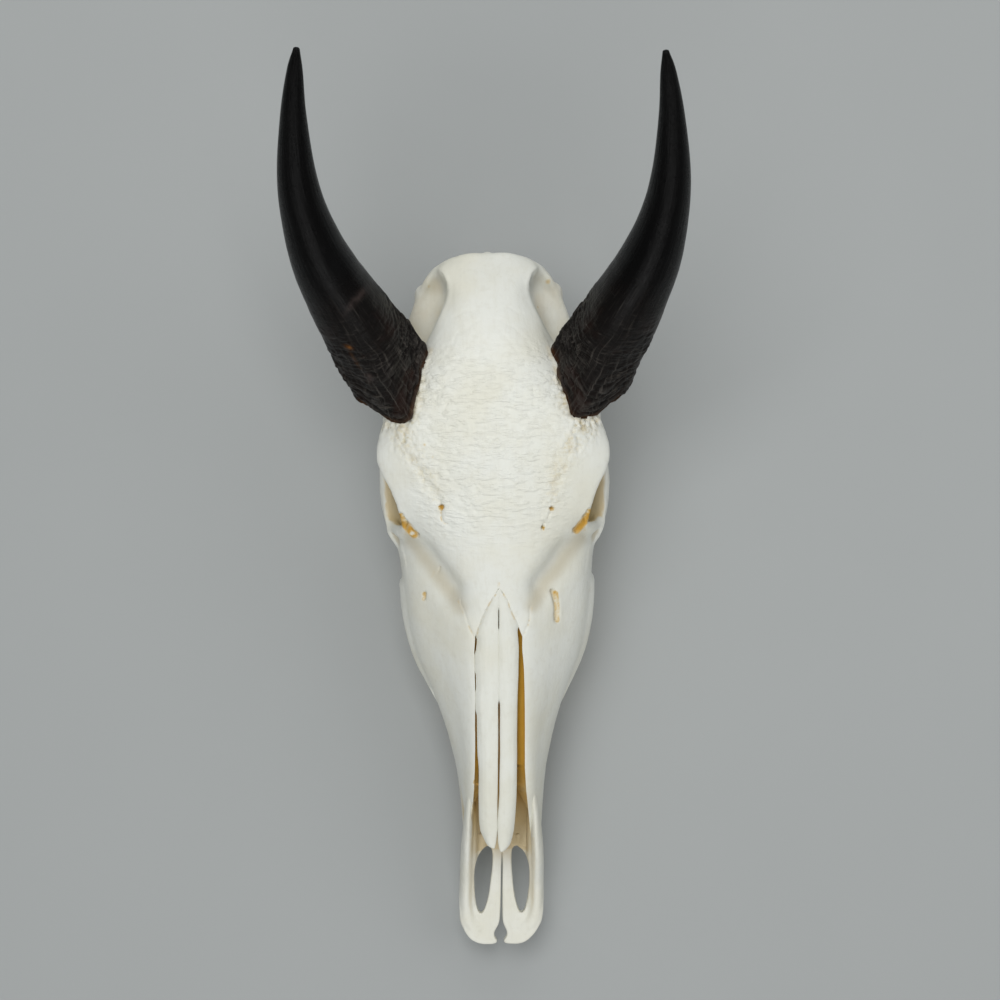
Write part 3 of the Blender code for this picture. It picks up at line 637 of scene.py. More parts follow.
cranium = {
    "firstVoxel": 1.5,
    "voxel": 0.8,
    "smoothing": 5,
    "triangles": 194000,
    # half sections from the top midline to the bottom midline, as (half width, height)
    "sections": {
        58: [(0, 47), (7, 47), (13, 47), (17, 45.5), (19.3, 43), (21.0, 39.5),
             (21.8, 36), (21.8, 32), (20.8, 28.5), (18.2, 26), (9, 25), (0, 26)],
        80: [(0, 68), (8, 68), (14, 67.5), (17.8, 64), (20.3, 58), (21.9, 51),
             (22.8, 44), (22.8, 37), (21.5, 30), (18.5, 25), (9, 23.5), (0, 25)],
        100: [(0, 82), (8, 82), (14, 81.5), (17.8, 78), (20.8, 70), (23.2, 60),
              (24.5, 50), (24.5, 41), (23, 31), (19, 24), (9, 22.5), (0, 25)],
        125: [(0, 91), (8, 91), (14, 90.5), (19, 85), (23, 76), (27, 66),
              (29.5, 55), (29.5, 45), (28, 33), (23, 23), (11, 22), (0, 26)],
        150: [(0, 99), (8, 99), (15, 97.5), (22, 90.5), (28, 81), (34, 70),
              (37.5, 59), (37.5, 48), (35.5, 35), (30, 24), (14, 23), (0, 27)],
        175: [(0, 106), (8, 105.7), (16, 103.5), (24, 97), (33, 87), (41.5, 75.5),
              (46.5, 64), (47, 52), (43, 38), (36, 25), (17, 24), (0, 28)],
        200: [(0, 113.5), (9, 113), (18, 110), (27, 103), (37, 93), (46.5, 82),
              (51, 70), (51.5, 58), (46, 42), (39, 27), (19, 25), (0, 29)],
        220: [(0, 121), (10, 120.5), (21, 117.5), (32, 110.5), (41, 101), (48, 90),
              (52, 78), (53, 65), (47, 46), (40, 30), (20, 27), (0, 30)],
        238: [(0, 127), (11, 126.5), (24, 123.5), (37, 117), (46, 108), (50, 98),
              (53.5, 86), (55, 72), (47, 52), (38, 35), (20, 30), (0, 33)],
        248: [(0, 130), (12, 129.5), (26, 126.5), (40, 121), (50, 113.5), (44, 105),
              (36, 96), (33, 82), (32, 66), (30, 46), (18, 38), (0, 41)],
        265: [(0, 133.5), (13, 133), (28, 130), (43, 126), (57.6, 118.5), (51, 112.5),
              (30, 104), (22, 90), (20, 72), (19, 52), (12, 44), (0, 46)],
        280: [(0, 135.8), (14, 135.3), (29, 132.8), (45, 129.3), (63, 119.5), (56, 112.5),
              (34, 106), (24, 92), (21, 74), (19, 54), (12, 46), (0, 48)],
        296: [(0, 137.5), (14, 137), (29, 135), (44, 131), (59.4, 119), (53, 111),
              (36, 105), (29, 92), (26, 76), (22, 56), (12, 47), (0, 49)],
        315: [(0, 138.5), (13, 138), (27, 136), (39, 131), (48, 121), (44, 111),
              (37, 103), (35, 92), (34, 78), (29, 58), (13, 47), (0, 48)],
        335: [(0, 137.5), (12, 137), (23, 134), (32, 128), (37, 118), (34, 109),
              (37, 100), (42, 91), (43, 79), (38, 62), (16, 48), (0, 47)],
        352: [(0, 134), (10, 133.5), (19, 131), (26.5, 126), (28, 118), (29, 110),
              (33, 101), (42, 94), (44.5, 82), (40, 64), (18, 50), (0, 47)],
        368: [(0, 128.5), (9, 128), (16, 126.5), (21.5, 122), (23, 115), (25.5, 107.5),
              (31, 102), (36.5, 98), (39.3, 86), (36.5, 67), (20, 53), (0, 50)],
        379: [(0, 122.5), (9, 122.5), (18, 121.5), (26, 118.5), (28, 113), (29, 108),
              (30.5, 104), (32.5, 99), (34, 88), (31.5, 72), (18, 60), (0, 56)],
        386: [(0, 118.5), (8, 118.5), (15, 117.5), (22, 114), (24, 109), (25, 102),
              (26, 94), (26, 88), (25, 80), (22, 72), (12, 66), (0, 64)],
        389: [(0, 116), (6, 116), (11, 115), (16, 112), (18, 107), (19, 100),
              (20, 94), (20, 88), (19, 80), (17, 74), (9, 69), (0, 67)],
    },
    "occiputLean": 0.16,
    "crestHeight": 118,
    "occiputStart": 362,
    # bars of bone: centre, then half thickness across and half height
    "cheekArch": [
        ((43.2, 196, 60), 6.5, 9), ((45, 216, 66), 4.6, 10), ((48.1, 228, 70), 4.4, 10),
        ((52.1, 236, 71), 4.2, 10), ((56.6, 246, 71), 3.9, 9.5), ((59.2, 257, 71), 3.5, 9),
        ((59.7, 270, 72), 3.4, 8.2), ((58.6, 284, 75), 3.5, 7.8), ((56.4, 298, 77), 3.5, 7.4),
        ((56.2, 310, 77), 3.4, 7), ((53, 321, 77), 4, 6.8), ((48, 332, 76), 6, 7), ((40, 344, 78), 9, 9),
    ],
    "eyeRim": [
        ((52.6, 260, 117), 2.6, 2.8), ((58.4, 273, 117), 2.8, 3.2), ((58.6, 284, 111), 3.4, 3.8),
        ((56.8, 289.5, 98), 4.2, 4.0), ((58.0, 286, 85), 4.0, 3.8), ((61.0, 270, 77.6), 2.2, 2.2),
        ((60.4, 255, 77), 2.2, 2.3), ((56.4, 243.5, 82), 3.0, 3.0), ((51.6, 239.5, 96), 3.6, 3.4),
        ((48.2, 243, 110), 3.0, 2.6),
    ],
    "eyeFloor": [
        ((50.5, 233, 75), 6, 3.2), ((53, 241, 79), 8.5, 2.6), ((54.4, 250, 78.5), 8.5, 2.3),
        ((55.4, 262, 77.5), 7.5, 2.1), ((57, 273, 77), 5, 2.0), ((58, 284, 77), 3.5, 1.8),
    ],
    "cheekSwelling": [
        ((27, 132, 42), 3, 6), ((35, 150, 44), 4.4, 8), ((43, 170, 49), 5.6, 9),
        ((48, 190, 56), 5.4, 9), ((50.5, 212, 64), 4.4, 9),
    ],
    "templeCrest": [
        ((47, 334, 80), 4, 5), ((43, 348, 88), 3, 5), ((39.5, 360, 94), 2.6, 4.6),
        ((35, 370.5, 99.5), 2.6, 4.4), ((28.6, 379, 106.5), 2.8, 4.2), ((19, 384, 113), 2.8, 3.6),
        ((8, 386.4, 115.6), 2.8, 3.0), ((0, 385.4, 115.2), 2.8, 2.8),
    ],
    "neckRidges": [
        [((0, 386, 115), 3, 4), ((0, 385.5, 104), 3.4, 4), ((0, 381.5, 90), 2.4, 3)],
        [((36, 369, 98), 4, 5), ((37, 368, 86), 4, 5), ((35.5, 366, 74), 5, 6)],
        [((-36, 369, 98), 4, 5), ((-37, 368, 86), 4, 5), ((-35.5, 366, 74), 5, 6)],
    ],
    "jawSocket": [((34, 322, 71), 6, 6), ((42, 325, 68), 8, 5), ((52, 326, 72), 6, 4.5)],
    "pterygoidPlate": [
        ((17, 236, 38), 3, 10), ((15.5, 252, 38), 2, 14), ((14.5, 268, 40), 2, 14),
        ((14, 284, 45), 2.2, 12), ((14, 300, 50), 4, 8),
    ],
    "hangingProcess": [
        ((34, 364, 80), 7, 8), ((34.5, 365, 58), 6.5, 8), ((32.5, 364, 38), 5, 7.4),
        ((29.5, 362, 19), 3.8, 6), ((27, 360, 0.6), 3, 4.2),
    ],
    "base": [((0, 318, 52), 13, 5), ((0, 340, 50), 12, 5), ((0, 360, 50), 12, 6), ((0, 377, 52), 15, 6)],
    "earBulla": ((20.5, 338, 43), (9, 15, 14)),
    "earTube": [((24, 342, 56), 7, 7), ((36, 345, 63), 5.5, 6), ((45, 347, 67), 4.6, 5)],
    "occipitalKnuckle": [
        ((8, 368, 49), 6, 6), ((14, 378, 52), 7.5, 8), ((19.5, 381, 59), 8, 8.5),
        ((19.5, 379, 68), 7, 7.5), ((16, 372, 77), 5, 6),
    ],
    "spinalOpening": ((0, 384, 66), (12, 34, 10)),
    # shallow holes: (x, station), half width, half length, height of the bottom
    "foreheadHoles": [((-27.6, 252), 1.4, 1.5, 122.5), ((31.7, 250.2), 1.2, 1.0, 121.5),
                      ((26.7, 240), 0.8, 1.1, 119.5)],
    "tearPits": [[(-50.2, 247.4), (-46.7, 241.8), (-42.9, 237.4)], [(52.8, 247.8), (49.2, 242.6), (45.2, 238.2)]],
    "tearKnob": ((-44.2, 238.4), 1.1, 1.8),      # (x, station), radius, height
    "earHole": [((48, 348, 68), 2.4, 2.4), ((38, 345.5, 64), 2, 2)],
    "cheekHole": [((40, 141, 52), 4, 5), ((29, 153, 50), 3, 4), ((22, 164, 48), 2, 3)],
    # the nose passage: station, centre height, half width, half height, width of its floor
    "nosePassage": [
        (45, 43, 17.5, 14, 0.5), (62, 46, 18, 17, 0.5), (80, 48, 19, 19, 0.5), (100, 52, 20, 24, 0.6),
        (125, 56, 24, 27, 0.8), (150, 60, 28, 29, 0.9), (175, 64, 30, 30, 1), (200, 67, 30, 29, 1),
        (222, 66, 27, 26, 1), (238, 58, 20, 18, 1), (252, 47, 13, 11, 1), (262, 41, 11, 8, 1),
        (276, 35, 11, 7, 1), (292, 29, 11, 5, 1),
    ],
    # the slot in the roof for the two nasal bones: station, edge at -X, edge at +X, its floor
    "noseSlot": [
        (45, -18.4, 18.4, 40), (62, -17.2, 17.2, 40), (73, -16.0, 16.9, 46), (84, -14.8, 16.1, 58),
        (95, -13.7, 15.2, 69), (107, -13.0, 14.7, 78), (119, -12.5, 14.9, 82.5), (129, -12.3, 15.1, 86.5),
        (151, -11.7, 15.3, 92.5), (163, -11.7, 15.2, 96), (174, -11.7, 14.4, 98.5), (181, -11.0, 14.6, 101),
        (187.5, -8.6, 12.0, 103), (196, -4.9, 8.8, 106), (203, -0.6, 5.8, 109), (207.5, 2.2, 2.9, 111),
    ],
}

# stations, and the height above which bone belongs to the roof of the skull
outerSkin = ([62, 100, 150, 250, 390], [44, 62, 72, 92, 84])

# lines and patches on the face, seen from above as (x, station)
surface = {
    "valleys": [[(-46, 236), (-37.4, 224), (-31, 215.4), (-25, 207), (-19, 197.8)],
                [(47.5, 234), (38.6, 223.8), (33, 215.7), (27.5, 209.5), (21, 198)]],
    # small brown marks: place, radius, strength
    "spots": [((32.5, 373.3), 1.5, 0.5), ((-32.2, 371.9), 0.9, 0.45), ((26.8, 359.8), 0.8, 0.5),
              ((-35.6, 285.5), 0.8, 0.4), ((-31.4, 279), 0.7, 0.3)],
    "templeLine": [(332, 39), (338, 36), (346, 31), (355, 26), (362, 23), (367, 21.8), (372, 21.8), (377, 23.5), (381, 27), (385, 33)],
    "valleyDepth": 5.6,
    "valleyWidth": 7.2,
    "sutures": [[(2.5, 211), (2.4, 206.8), (-2.5, 200.3), (-5.9, 193.3), (-8.2, 187.9), (-10.5, 181.5)],
                [(2.5, 207), (4.6, 205), (7.2, 199.5), (9.2, 194.1), (11.8, 187.5), (13.3, 182.1)],
                [(-20, 201), (-17.3, 195), (-15.3, 189.5), (-11.6, 181.3)],
                [(20.4, 197), (17.8, 187.2), (15.5, 181.8)]],
    "sutureDepth": 0.34,
    "sutureWidth": 0.5,
    # thin slits in the cheek: path, depth, half width
    "slits": [([(33.9, 189), (34.1, 196), (33.2, 204.2)], 2.6, 1.15), ([(-38.9, 201.8), (-38.6, 205)], 1.6, 0.7),
              ([(-33, 217), (-33.8, 214.6)], 0.7, 0.6)],
    "roughBands": [[(-50, 297), (-46.4, 289), (-37, 273), (-30, 259), (-27.6, 252)],
                   [(52, 296), (45.5, 288), (36.5, 273.5), (32.5, 258), (31.7, 250)]],
    "roughWidth": 6.5,
    "hornFoot": [(31.3, 336.3), (33, 330), (36, 322), (40.1, 315.4), (40.4, 306), (43, 299),
                 (50, 295), (57, 297), (63.5, 304), (70, 308)],
    "smallGrooves": [[(-27.8, 249.5), (-27.9, 246), (-26.2, 243.6), (-24.6, 243)],
                     [(-41, 276), (-34, 265), (-28.6, 255)], [(30.6, 248), (29.4, 245)],
                     [(27.5, 243), (26.7, 240)]],
    "crownLines": [[(-25, 316), (-17, 330), (-8, 343), (-3, 350)], [(-26, 328), (-17, 343), (-8, 350), (-2, 353)],
                   [(-21, 352), (-13, 357), (-4, 356)], [(-11, 310), (-7, 328), (-3, 345)],
                   [(25, 318), (17, 331), (8, 343), (2, 350)], [(24, 332), (16, 345), (7, 351), (1, 353)],
                   [(20, 353), (12, 358), (3, 356)], [(9, 312), (6, 329), (2, 345)]],
}


def headRings(spacing, steps):
    stations = sorted(cranium["sections"])
    table = np.array([cranium["sections"][k] for k in stations], float)
    wanted = np.arange(stations[0], stations[-1] + 0.01, spacing)
    rings = []
    for station, half in zip(wanted, easeBetween(stations, table, wanted)):
        loop = roundLoop(np.vstack([half, half[-2:0:-1] * (-1, 1)]), steps)
        share = max(0.0, (station - cranium["occiputStart"]) / (stations[-1] - cranium["occiputStart"]))
        back = cranium["occiputLean"] * share * (cranium["crestHeight"] - loop[:, 1])
        rings.append(np.column_stack([loop[:, 0], station - back, loop[:, 1]]))
    return rings


def passageAt(stations):
    table = np.array(cranium["nosePassage"], float)
    return easeBetween(table[:, 0], table[:, 1:], np.clip(stations, table[0, 0], table[-1, 0]))


def nosePassage():
    stations = np.arange(cranium["nosePassage"][0][0], cranium["nosePassage"][-1][0] + 0.01, 4.0)
    angles = np.arange(36) * 2 * np.pi / 36
    unitX = np.sign(np.cos(angles)) * np.abs(np.cos(angles)) ** 0.8
    unitZ = np.sign(np.sin(angles)) * np.abs(np.sin(angles)) ** 0.8
    unitX = unitX * (1 - 0.38 * np.clip(unitZ, 0, 1))
    return skin([np.column_stack([wide * unitX * (1 - (1 - floor) * np.clip(-unitZ, 0, 1)),
                                  np.full(36, station), z + high * unitZ])
                 for station, (z, wide, high, floor) in zip(stations, passageAt(stations))])


def noseSlot():
    rows = np.array(cranium["noseSlot"], float)
    stations = np.arange(rows[0, 0], rows[-1, 0], 2.0)
    near, far, floor = (np.interp(stations, rows[:, 0], column) for column in rows.T[1:])
    return skin([np.array([(a, s, 150), (a, s, low), (b, s, low), (b, s, 150)])
                 for s, a, b, low in zip(stations, near, far, floor)])


def pedicel(lengthShare):
    # the stump of forehead bone under the horn's sheath
    rows = hornRows(np.linspace(0, 1, 60), lengthShare)
    ring = hornRing(rows, 0, -0.2, 48)
    inside = hornRing(rows, 4, 3.0, 48)
    middle = ring.mean(axis=0)
    root = np.array(horn["coreRoot"], float)
    low = root + (ring - middle) * 0.84
    axis = (middle - root) / np.linalg.norm(middle - root)
    rim = middle + (ring - middle) * 0.88
    return skin([low, (low + rim) / 2 - axis * 0.5, rim - axis * 1.0, middle + (rim - middle) * 0.92 + axis, inside])


def craniumShapes():
    shapes = [skin(headRings(1.5, 5))]
    for name in ("cheekSwelling", "templeCrest", "jawSocket", "pterygoidPlate", "earTube", "occipitalKnuckle"):
        shapes += bothSides(bar(cranium[name]))
    shapes += bothSides(bar(cranium["cheekArch"], up=(0.3, 0, 0.954)))      # leans outwards
    shapes += bothSides(bar(cranium["eyeFloor"], up=(-0.5, 0, 0.866)))        # rises outwards
    shapes += bothSides(bar(cranium["hangingProcess"], up=(0, 1, 0)))
    shapes += [bar(path, up=(0, 1, 0)) for path in cranium["neckRidges"]]
    shapes += bothSides(bar(cranium["eyeRim"], up=(1, 0, 0), loop=True))
    shapes += bothSides(egg(*cranium["earBulla"]))
    return shapes + [bar(cranium["base"]), pedicel(horn["leftLength"]), mirrored(pedicel(1.0))]


def cutHollows(obj):
    combine(obj, makeObject("nose", [nosePassage()]))
    combine(obj, makeObject("spinalOpening", [egg(*cranium["spinalOpening"])]))
    holes = bothSides(bar(cranium["earHole"], 2, 16)) + bothSides(bar(cranium["cheekHole"], 3, 16))
    combine(obj, makeObject("smallHoles", holes))


def carveSurface(obj):
    # broad valleys, sutures, wrinkles and pitted bone, pressed into the mesh itself
    points = readPoints(obj)
    normals = readNormals(obj)
    flat = points[:, :2]
    outside = points[:, 2] > np.interp(points[:, 1], *outerSkin)
    top = ramp(normals[:, 2], 0.1, 0.45) * outside
    depth = np.zeros(len(points))
    for path in surface["valleys"]:
        gap, along = nearPath(flat, path)
        depth += surface["valleyDepth"] * hump(gap, surface["valleyWidth"]) * ramp(along, -0.1, 0.3) \
            * (1 - 0.7 * ramp(along, 0.75, 1.0)) * top
    wobble = np.column_stack([noiseAt(points, 3.2, 11), noiseAt(points, 3.2, 12)]) * 0.55
    for path in surface["sutures"]:
        gap, _ = nearPath(flat + wobble, path)
        depth += surface["sutureDepth"] * hump(gap, surface["sutureWidth"]) * top
    for path, deep, wide in zip(surface["smallGrooves"], (0.9, 0.7, 0.7, 0.7), (0.6, 2.0, 0.6, 0.6)):
        gap, _ = nearPath(flat + wobble * 0.8, path)
        depth += deep * hump(gap, wide) * top
    for path, deep, wide in surface["slits"]:
        gap, _ = nearPath(flat + wobble * 0.4, path)
        depth += deep * hump(gap, wide) * top
    for (x, station), across, long, _ in cranium["foreheadHoles"]:
        gap = np.hypot((flat[:, 0] - x) / across, (flat[:, 1] - station) / long)
        depth += 3.2 * (1 - ramp(gap, 0.75, 1.15)) * top
    for path in cranium["tearPits"]:
        gap, _ = nearPath(flat + wobble * 1.2, path)
        depth += 3.4 * (1 - ramp(gap, 0.9, 2.5)) * outside * ramp(normals[:, 2], 0, 0.3)
    spot, radius, rise = cranium["tearKnob"]
    depth -= rise * hump(np.linalg.norm(flat - spot, axis=1), radius) * top

    # the crisp line along which the roof drops into the temple
    over = np.abs(flat[:, 0]) - np.interp(points[:, 1], *np.array(surface["templeLine"], float).T)
    temple = ramp(points[:, 1], 332, 344) * (1 - ramp(points[:, 1], 374, 382)) * (normals[:, 2] > 0) * outside
    depth += temple * (1.7 * ramp(over, 0, 1.5) * (1 - ramp(over, 4, 12)) - 0.5 * hump(over + 0.8, 1.3))

    rough = np.zeros(len(points))
    for path in surface["roughBands"]:
        gap, along = nearPath(flat, path)
        rough = np.maximum(rough, hump(gap, surface["roughWidth"] * (1.15 - 0.55 * along)) * (1 - 0.55 * along))
    mirroredFlat = np.column_stack([np.abs(flat[:, 0]), flat[:, 1]])
    foot, _ = nearPath(mirroredFlat, surface["hornFoot"])
    foot += 20 * ramp(points[:, 1], 318, 332)
    rough = np.maximum(rough, hump(foot, 4.5) * 0.9) * top
    patchy = 0.55 + 0.45 * noiseAt(points, 6.0, 3)
    rough *= np.clip(patchy * 1.5, 0, 1)
    crumbs = noiseAt(points, 2.3, 5) + 0.7 * noiseAt(points, 1.5, 6)
    depth += rough * (0.55 * crumbs + 0.7 * ramp(crumbs, 0.15, 0.75))
    depth += 0.8 * hump(foot, 3.0) * crumbs * top

    width = 1 - ramp(np.abs(points[:, 0]), 26, 52)
    forehead = ramp(points[:, 1], 222, 262) * (1 - ramp(points[:, 1], 312, 340)) * width * top
    forehead *= np.clip(0.6 + 0.75 * noiseAt(points, 13.0, 4), 0.1, 1.2)
    warp = points + np.column_stack([np.zeros(len(points)), noiseAt(points, 7, 21) * 4, np.zeros(len(points))])
    folds = noiseAt(warp, (2.9, 1.6, 2.9), 8) + 0.6 * noiseAt(warp, (1.9, 1.2, 1.9), 9)
    depth += forehead * (0.15 * folds + 0.42 * ramp(folds, 0.15, 0.75))
    for path in surface["crownLines"]:
        gap, along = nearPath(flat + wobble * 2.0, path)
        depth += 0.15 * hump(gap, 0.9) * top * ramp(along, 0.0, 0.15) * (1 - ramp(along, 0.8, 1.0))
    depth += 0.09 * noiseAt(points, 7.0, 31) + 0.05 * noiseAt(points, 2.4, 32)
    points -= normals * depth[:, None]
    points[:, 2] = np.maximum(points[:, 2], 0.0)
    writePoints(obj, points)


def paintBone(obj, wrinkled=True):
    # masks for the bone finish: stain, rough, wrinkle, and painted shade for hollows and valleys
    points, normals, edges = readPoints(obj), readNormals(obj), readEdges(obj)
    flat = points[:, :2]
    x, s, z = points.T
    # painted shade: how far each point lies below the mean of its neighbours, at a small and a broad scale
    small = np.einsum("ij,ij->i", soften(points, edges, 3) - points, normals)
    broad = np.einsum("ij,ij->i", soften(points, edges, 24) - points, normals)
    hollow = np.clip(small * 3.0, 0, 1) * 0.7 + np.clip(broad * 0.75, 0, 1) * 0.6
    outside = z > np.interp(s, *outerSkin)
    top = ramp(normals[:, 2], 0.1, 0.45) * outside

    middle, wide, high, _ = passageAt(s).T
    inNose = (np.abs(x) / (wide + 1.6)) ** 2 + ((z - middle) / (high + 1.6)) ** 2
    stain = (0.3 + 0.65 * ramp(s, 60, 105)) * (1 - ramp(inNose, 0.9, 1.12)) * ramp(s, 42, 62) * (s < 285)
    slotNear, slotFar = (np.interp(s, *np.array(cranium["noseSlot"], float).T[[0, k]]) for k in (1, 2))
    roof = np.interp(s, [45, 62, 80, 100, 125, 150, 175, 200], [40, 50, 67, 81.5, 90, 97, 103, 110])
    inSlot = (x > slotNear - 0.35) & (x < slotFar + 0.35) & (z < roof - 0.6) & (s < 206) & (s > 56)
    stain = np.maximum(stain, inSlot * (0.35 + 0.6 * ramp(s, 80, 110)))
    side = np.abs(x - np.interp(s, *sideShift))
    eyeHole = ramp(side, 24, 32) * (1 - ramp(side, 61, 63.5)) * ramp(s, 235, 243) * (1 - ramp(s, 278, 292)) \
        * ramp(z, 50, 58) * (1 - ramp(z, 106, 113)) * (1 - ramp(normals[:, 0] * np.sign(x), 0.1, 0.5))
    stain = np.maximum(stain, eyeHole * (0.36 + 0.35 * hump(s - 238, 6)))
    # less painted shade inside the eye socket
    hollow *= 1 - 0.8 * eyeHole
    # painted shadow along the valleys beside the nasal bones
    for path in surface["valleys"]:
        gap, _ = nearPath(flat, path)
        hollow = np.maximum(hollow, 0.7 * hump(gap, 6) * top)
    muzzleWall = (side > 13) * (s < 66) * ramp(-normals[:, 0] * np.sign(x), 0.3, 0.8) * ramp(z, 30, 34)
    stain = np.maximum(stain, 0.17 * muzzleWall)
    for path in cranium["tearPits"]:
        gap, along = nearPath(flat, path)
        stain = np.maximum(stain, (0.86 + 0.3 * noiseAt(points, 2.2, 46)) * (1 - ramp(gap, 1.2, 2.6)) * (z > 96))
    stain *= ramp(np.linalg.norm(flat - cranium["tearKnob"][0], axis=1), 0.9, 1.5)
    for (cx, cs), across, long, _ in cranium["foreheadHoles"]:
        gap = np.hypot((x - cx) / across, (s - cs) / long)
        stain = np.maximum(stain, 0.95 * (1 - ramp(gap, 0.85, 1.25)) * top)
        stain = np.maximum(stain, 0.14 * hump(gap, 2.2) * top)
    for path, deep, wideness in surface["slits"]:
        gap, _ = nearPath(flat, path)
        stain = np.maximum(stain, min(0.26, deep * 0.11) * hump(gap, wideness * 1.1) * (z > 80))
        edge = hump(gap - wideness * 0.8, 0.55) * (0.6 + 0.4 * ramp(s, 199, 204))
        edge = min(1, (deep / 2.2) ** 2) * (edge + ramp(s, 201.5, 204.5) * hump(gap, wideness))
        stain = np.maximum(stain, edge * np.clip(0.75 + 0.7 * noiseAt(points, 1.8, 48), 0, 1) * (z > 80))
    patchy = np.clip(0.4 + 1.1 * noiseAt(points, 1.3, 47), 0, 1)
    for path, amount in zip(surface["smallGrooves"], (0.62, 0.1, 0.4, 0.3)):
        gap, _ = nearPath(flat, path)
        stain = np.maximum(stain, amount * hump(gap, 0.5) * top * patchy)
    for path in surface["sutures"]:
        gap, _ = nearPath(flat, path)
        stain = np.maximum(stain, 0.3 * hump(gap, 0.6) * top * patchy)
    mirroredFlat = np.column_stack([side, s])
    foot, _ = nearPath(mirroredFlat, surface["hornFoot"])
    nearHorn = hump(foot, 1.8) * (z > 104) * (0.5 + 0.5 * noiseAt(points, 4.0, 41))
    stain = np.maximum(stain, 0.3 * nearHorn)
    foot += 20 * ramp(s, 318, 332)
    for spot, reach, amount in surface["spots"]:
        gap = np.linalg.norm(flat - spot, axis=1)
        stain = np.maximum(stain, amount * hump(gap, reach) * (z > 84) * (0.75 + 0.5 * noiseAt(points, 1.6, 43)))
    temple = ramp(side, 22, 26) * ramp(s, 318, 334) * (1 - ramp(s, 374, 382)) * (z < 116) * ramp(z, 70, 84)
    stain = np.maximum(stain, 0.19 * temple * (0.75 + 0.4 * noiseAt(points, 7.0, 44)))

    rough = hump(foot, 5.0) * 0.9
    for path in surface["roughBands"]:
        gap, along = nearPath(flat, path)
        rough = np.maximum(rough, hump(gap, surface["roughWidth"] * (1.15 - 0.55 * along)) * (1 - 0.5 * along))
    rough = rough * top * np.clip(0.8 + 0.5 * noiseAt(points, 6.0, 3), 0, 1)
    stain = np.maximum(stain, 0.23 * rough * (0.6 + 0.6 * noiseAt(points, 3.0, 45)))
    wrinkle = top * ramp(s, 215, 260) * (1 - ramp(s, 320, 350)) * (1 - ramp(np.abs(x), 28, 52))
    paint(obj, "stain", np.clip(stain, 0, 1))
    paint(obj, "rough", np.clip(rough, 0, 1))
    paint(obj, "wrinkle", wrinkle if wrinkled else wrinkle * 0)
    # painted shade, weaker on the wrinkled forehead
    paint(obj, "hollow", np.clip(hollow * (1 - 0.5 * wrinkle), 0, 1))


def buildCranium():
    obj = makeObject("skull", craniumShapes())
    shiftSideways(obj)
    melt(obj, cranium["firstVoxel"], 5)
    cutHollows(obj)
    dropCrumbs(obj)
    melt(obj, cranium["voxel"], cranium["smoothing"])
    combine(obj, makeObject("slot", [noseSlot()]))
    dropCrumbs(obj)
    print("   skin of", len(obj.data.vertices), "points")
    carveSurface(obj)
    points, normals = readPoints(obj), readNormals(obj)
    seen = ramp(normals[:, 2], -0.1, 0.3) * (points[:, 2] > np.interp(points[:, 1], *outerSkin))
    thinOut(obj, cranium["triangles"], 1 - 0.85 * seen)
    paintBone(obj)
    dress(obj, boneMaterial, "bone", "cranium")
    return obj


horn = {
    # path of the left horn: centre, half width, half depth
    "path": [
        ((50.5, 322, 121.5), 23.2, 24), ((62.5, 341.7, 143), 21.4, 22.5), ((70.3, 354, 158), 19.9, 21),
        ((83.9, 378, 181), 16.2, 17), ((91.5, 400.2, 199), 12.5, 13.2), ((94.5, 421, 215), 9.8, 10.3),
        ((93.9, 447, 235), 6.5, 6.8), ((91.6, 466, 250), 4.0, 4.1), ((89.9, 475.4, 258.5), 1.6, 1.7),
    ],
    "leftLength": 0.972,
    "coreRoot": (35, 305, 104),
    "wall": 3.0,
    "insideReach": 26.0,
    "sides": 180,
    "keel": 0.096,
    "footShare": 0.2,
    # the cut edge at the base: degrees round the horn, share of the radius, how far the edge
    # slides along the horn, how far it lifts
    "foot": [(0, 1.0, 1.5, -7), (13, 1.0, -1.5, -6), (26, 1.0, -8.5, -3), (40, 1.0, -11.8, 0),
             (56, 1.0, -12, 0.5), (69, 1.0, -9, 1), (79, 0.98, -3, -1), (90, 0.9, 1, -5), (112.5, 0.82, 3, -3), (135, 0.84, 4.5, 0),
             (157.5, 0.93, 3, 5), (180, 1.0, 0, 11), (202.5, 1.0, 0, 8), (225, 1.0, 0, 5),
             (270, 1.0, -1, 0), (315, 1.0, 0, -4), (360, 1.0, 1.5, -7)],
    "raggedEdge": 0.8,
    # marks on the right horn: (x, station), half length and width, lean in degrees, strength. The second pale spot
    # is a painted sheen, the other spots are marks in the keratin
    "amberSpots": [((-73.1, 336.2), (1.9, 0.9), -25, 0.6), ((-70.3, 330), (4, 0.8), -60, 0.16)],
    "paleBlotchAndSheenSpots": [((-63.2, 321), (2.6, 1.5), -50, 0.5), ((-67, 360), (8, 1.6), 50, 0.3)],
    "ringSpacing": 2.3,
    "ringDepth": 1.9,
    "ribDepth": 0.5,
    "swellDepth": 0.5,
    "seed": 7,
}


def hornRows(shares, lengthShare):
    # centre, half width and half depth at shares of the horn's length
    rows = smoothPath([(*centre, across, deep) for centre, across, deep in horn["path"]], 16)
    run = np.concatenate([[0], np.cumsum(np.linalg.norm(np.diff(rows[:, :3], axis=0), axis=1))])
    rows = np.column_stack([np.interp(shares * run[-1], run, column) for column in rows.T])
    rows[:, :3] = rows[0, :3] + (rows[:, :3] - rows[0, :3]) * lengthShare
    return np.column_stack([rows, shares, shares * run[-1] * lengthShare])


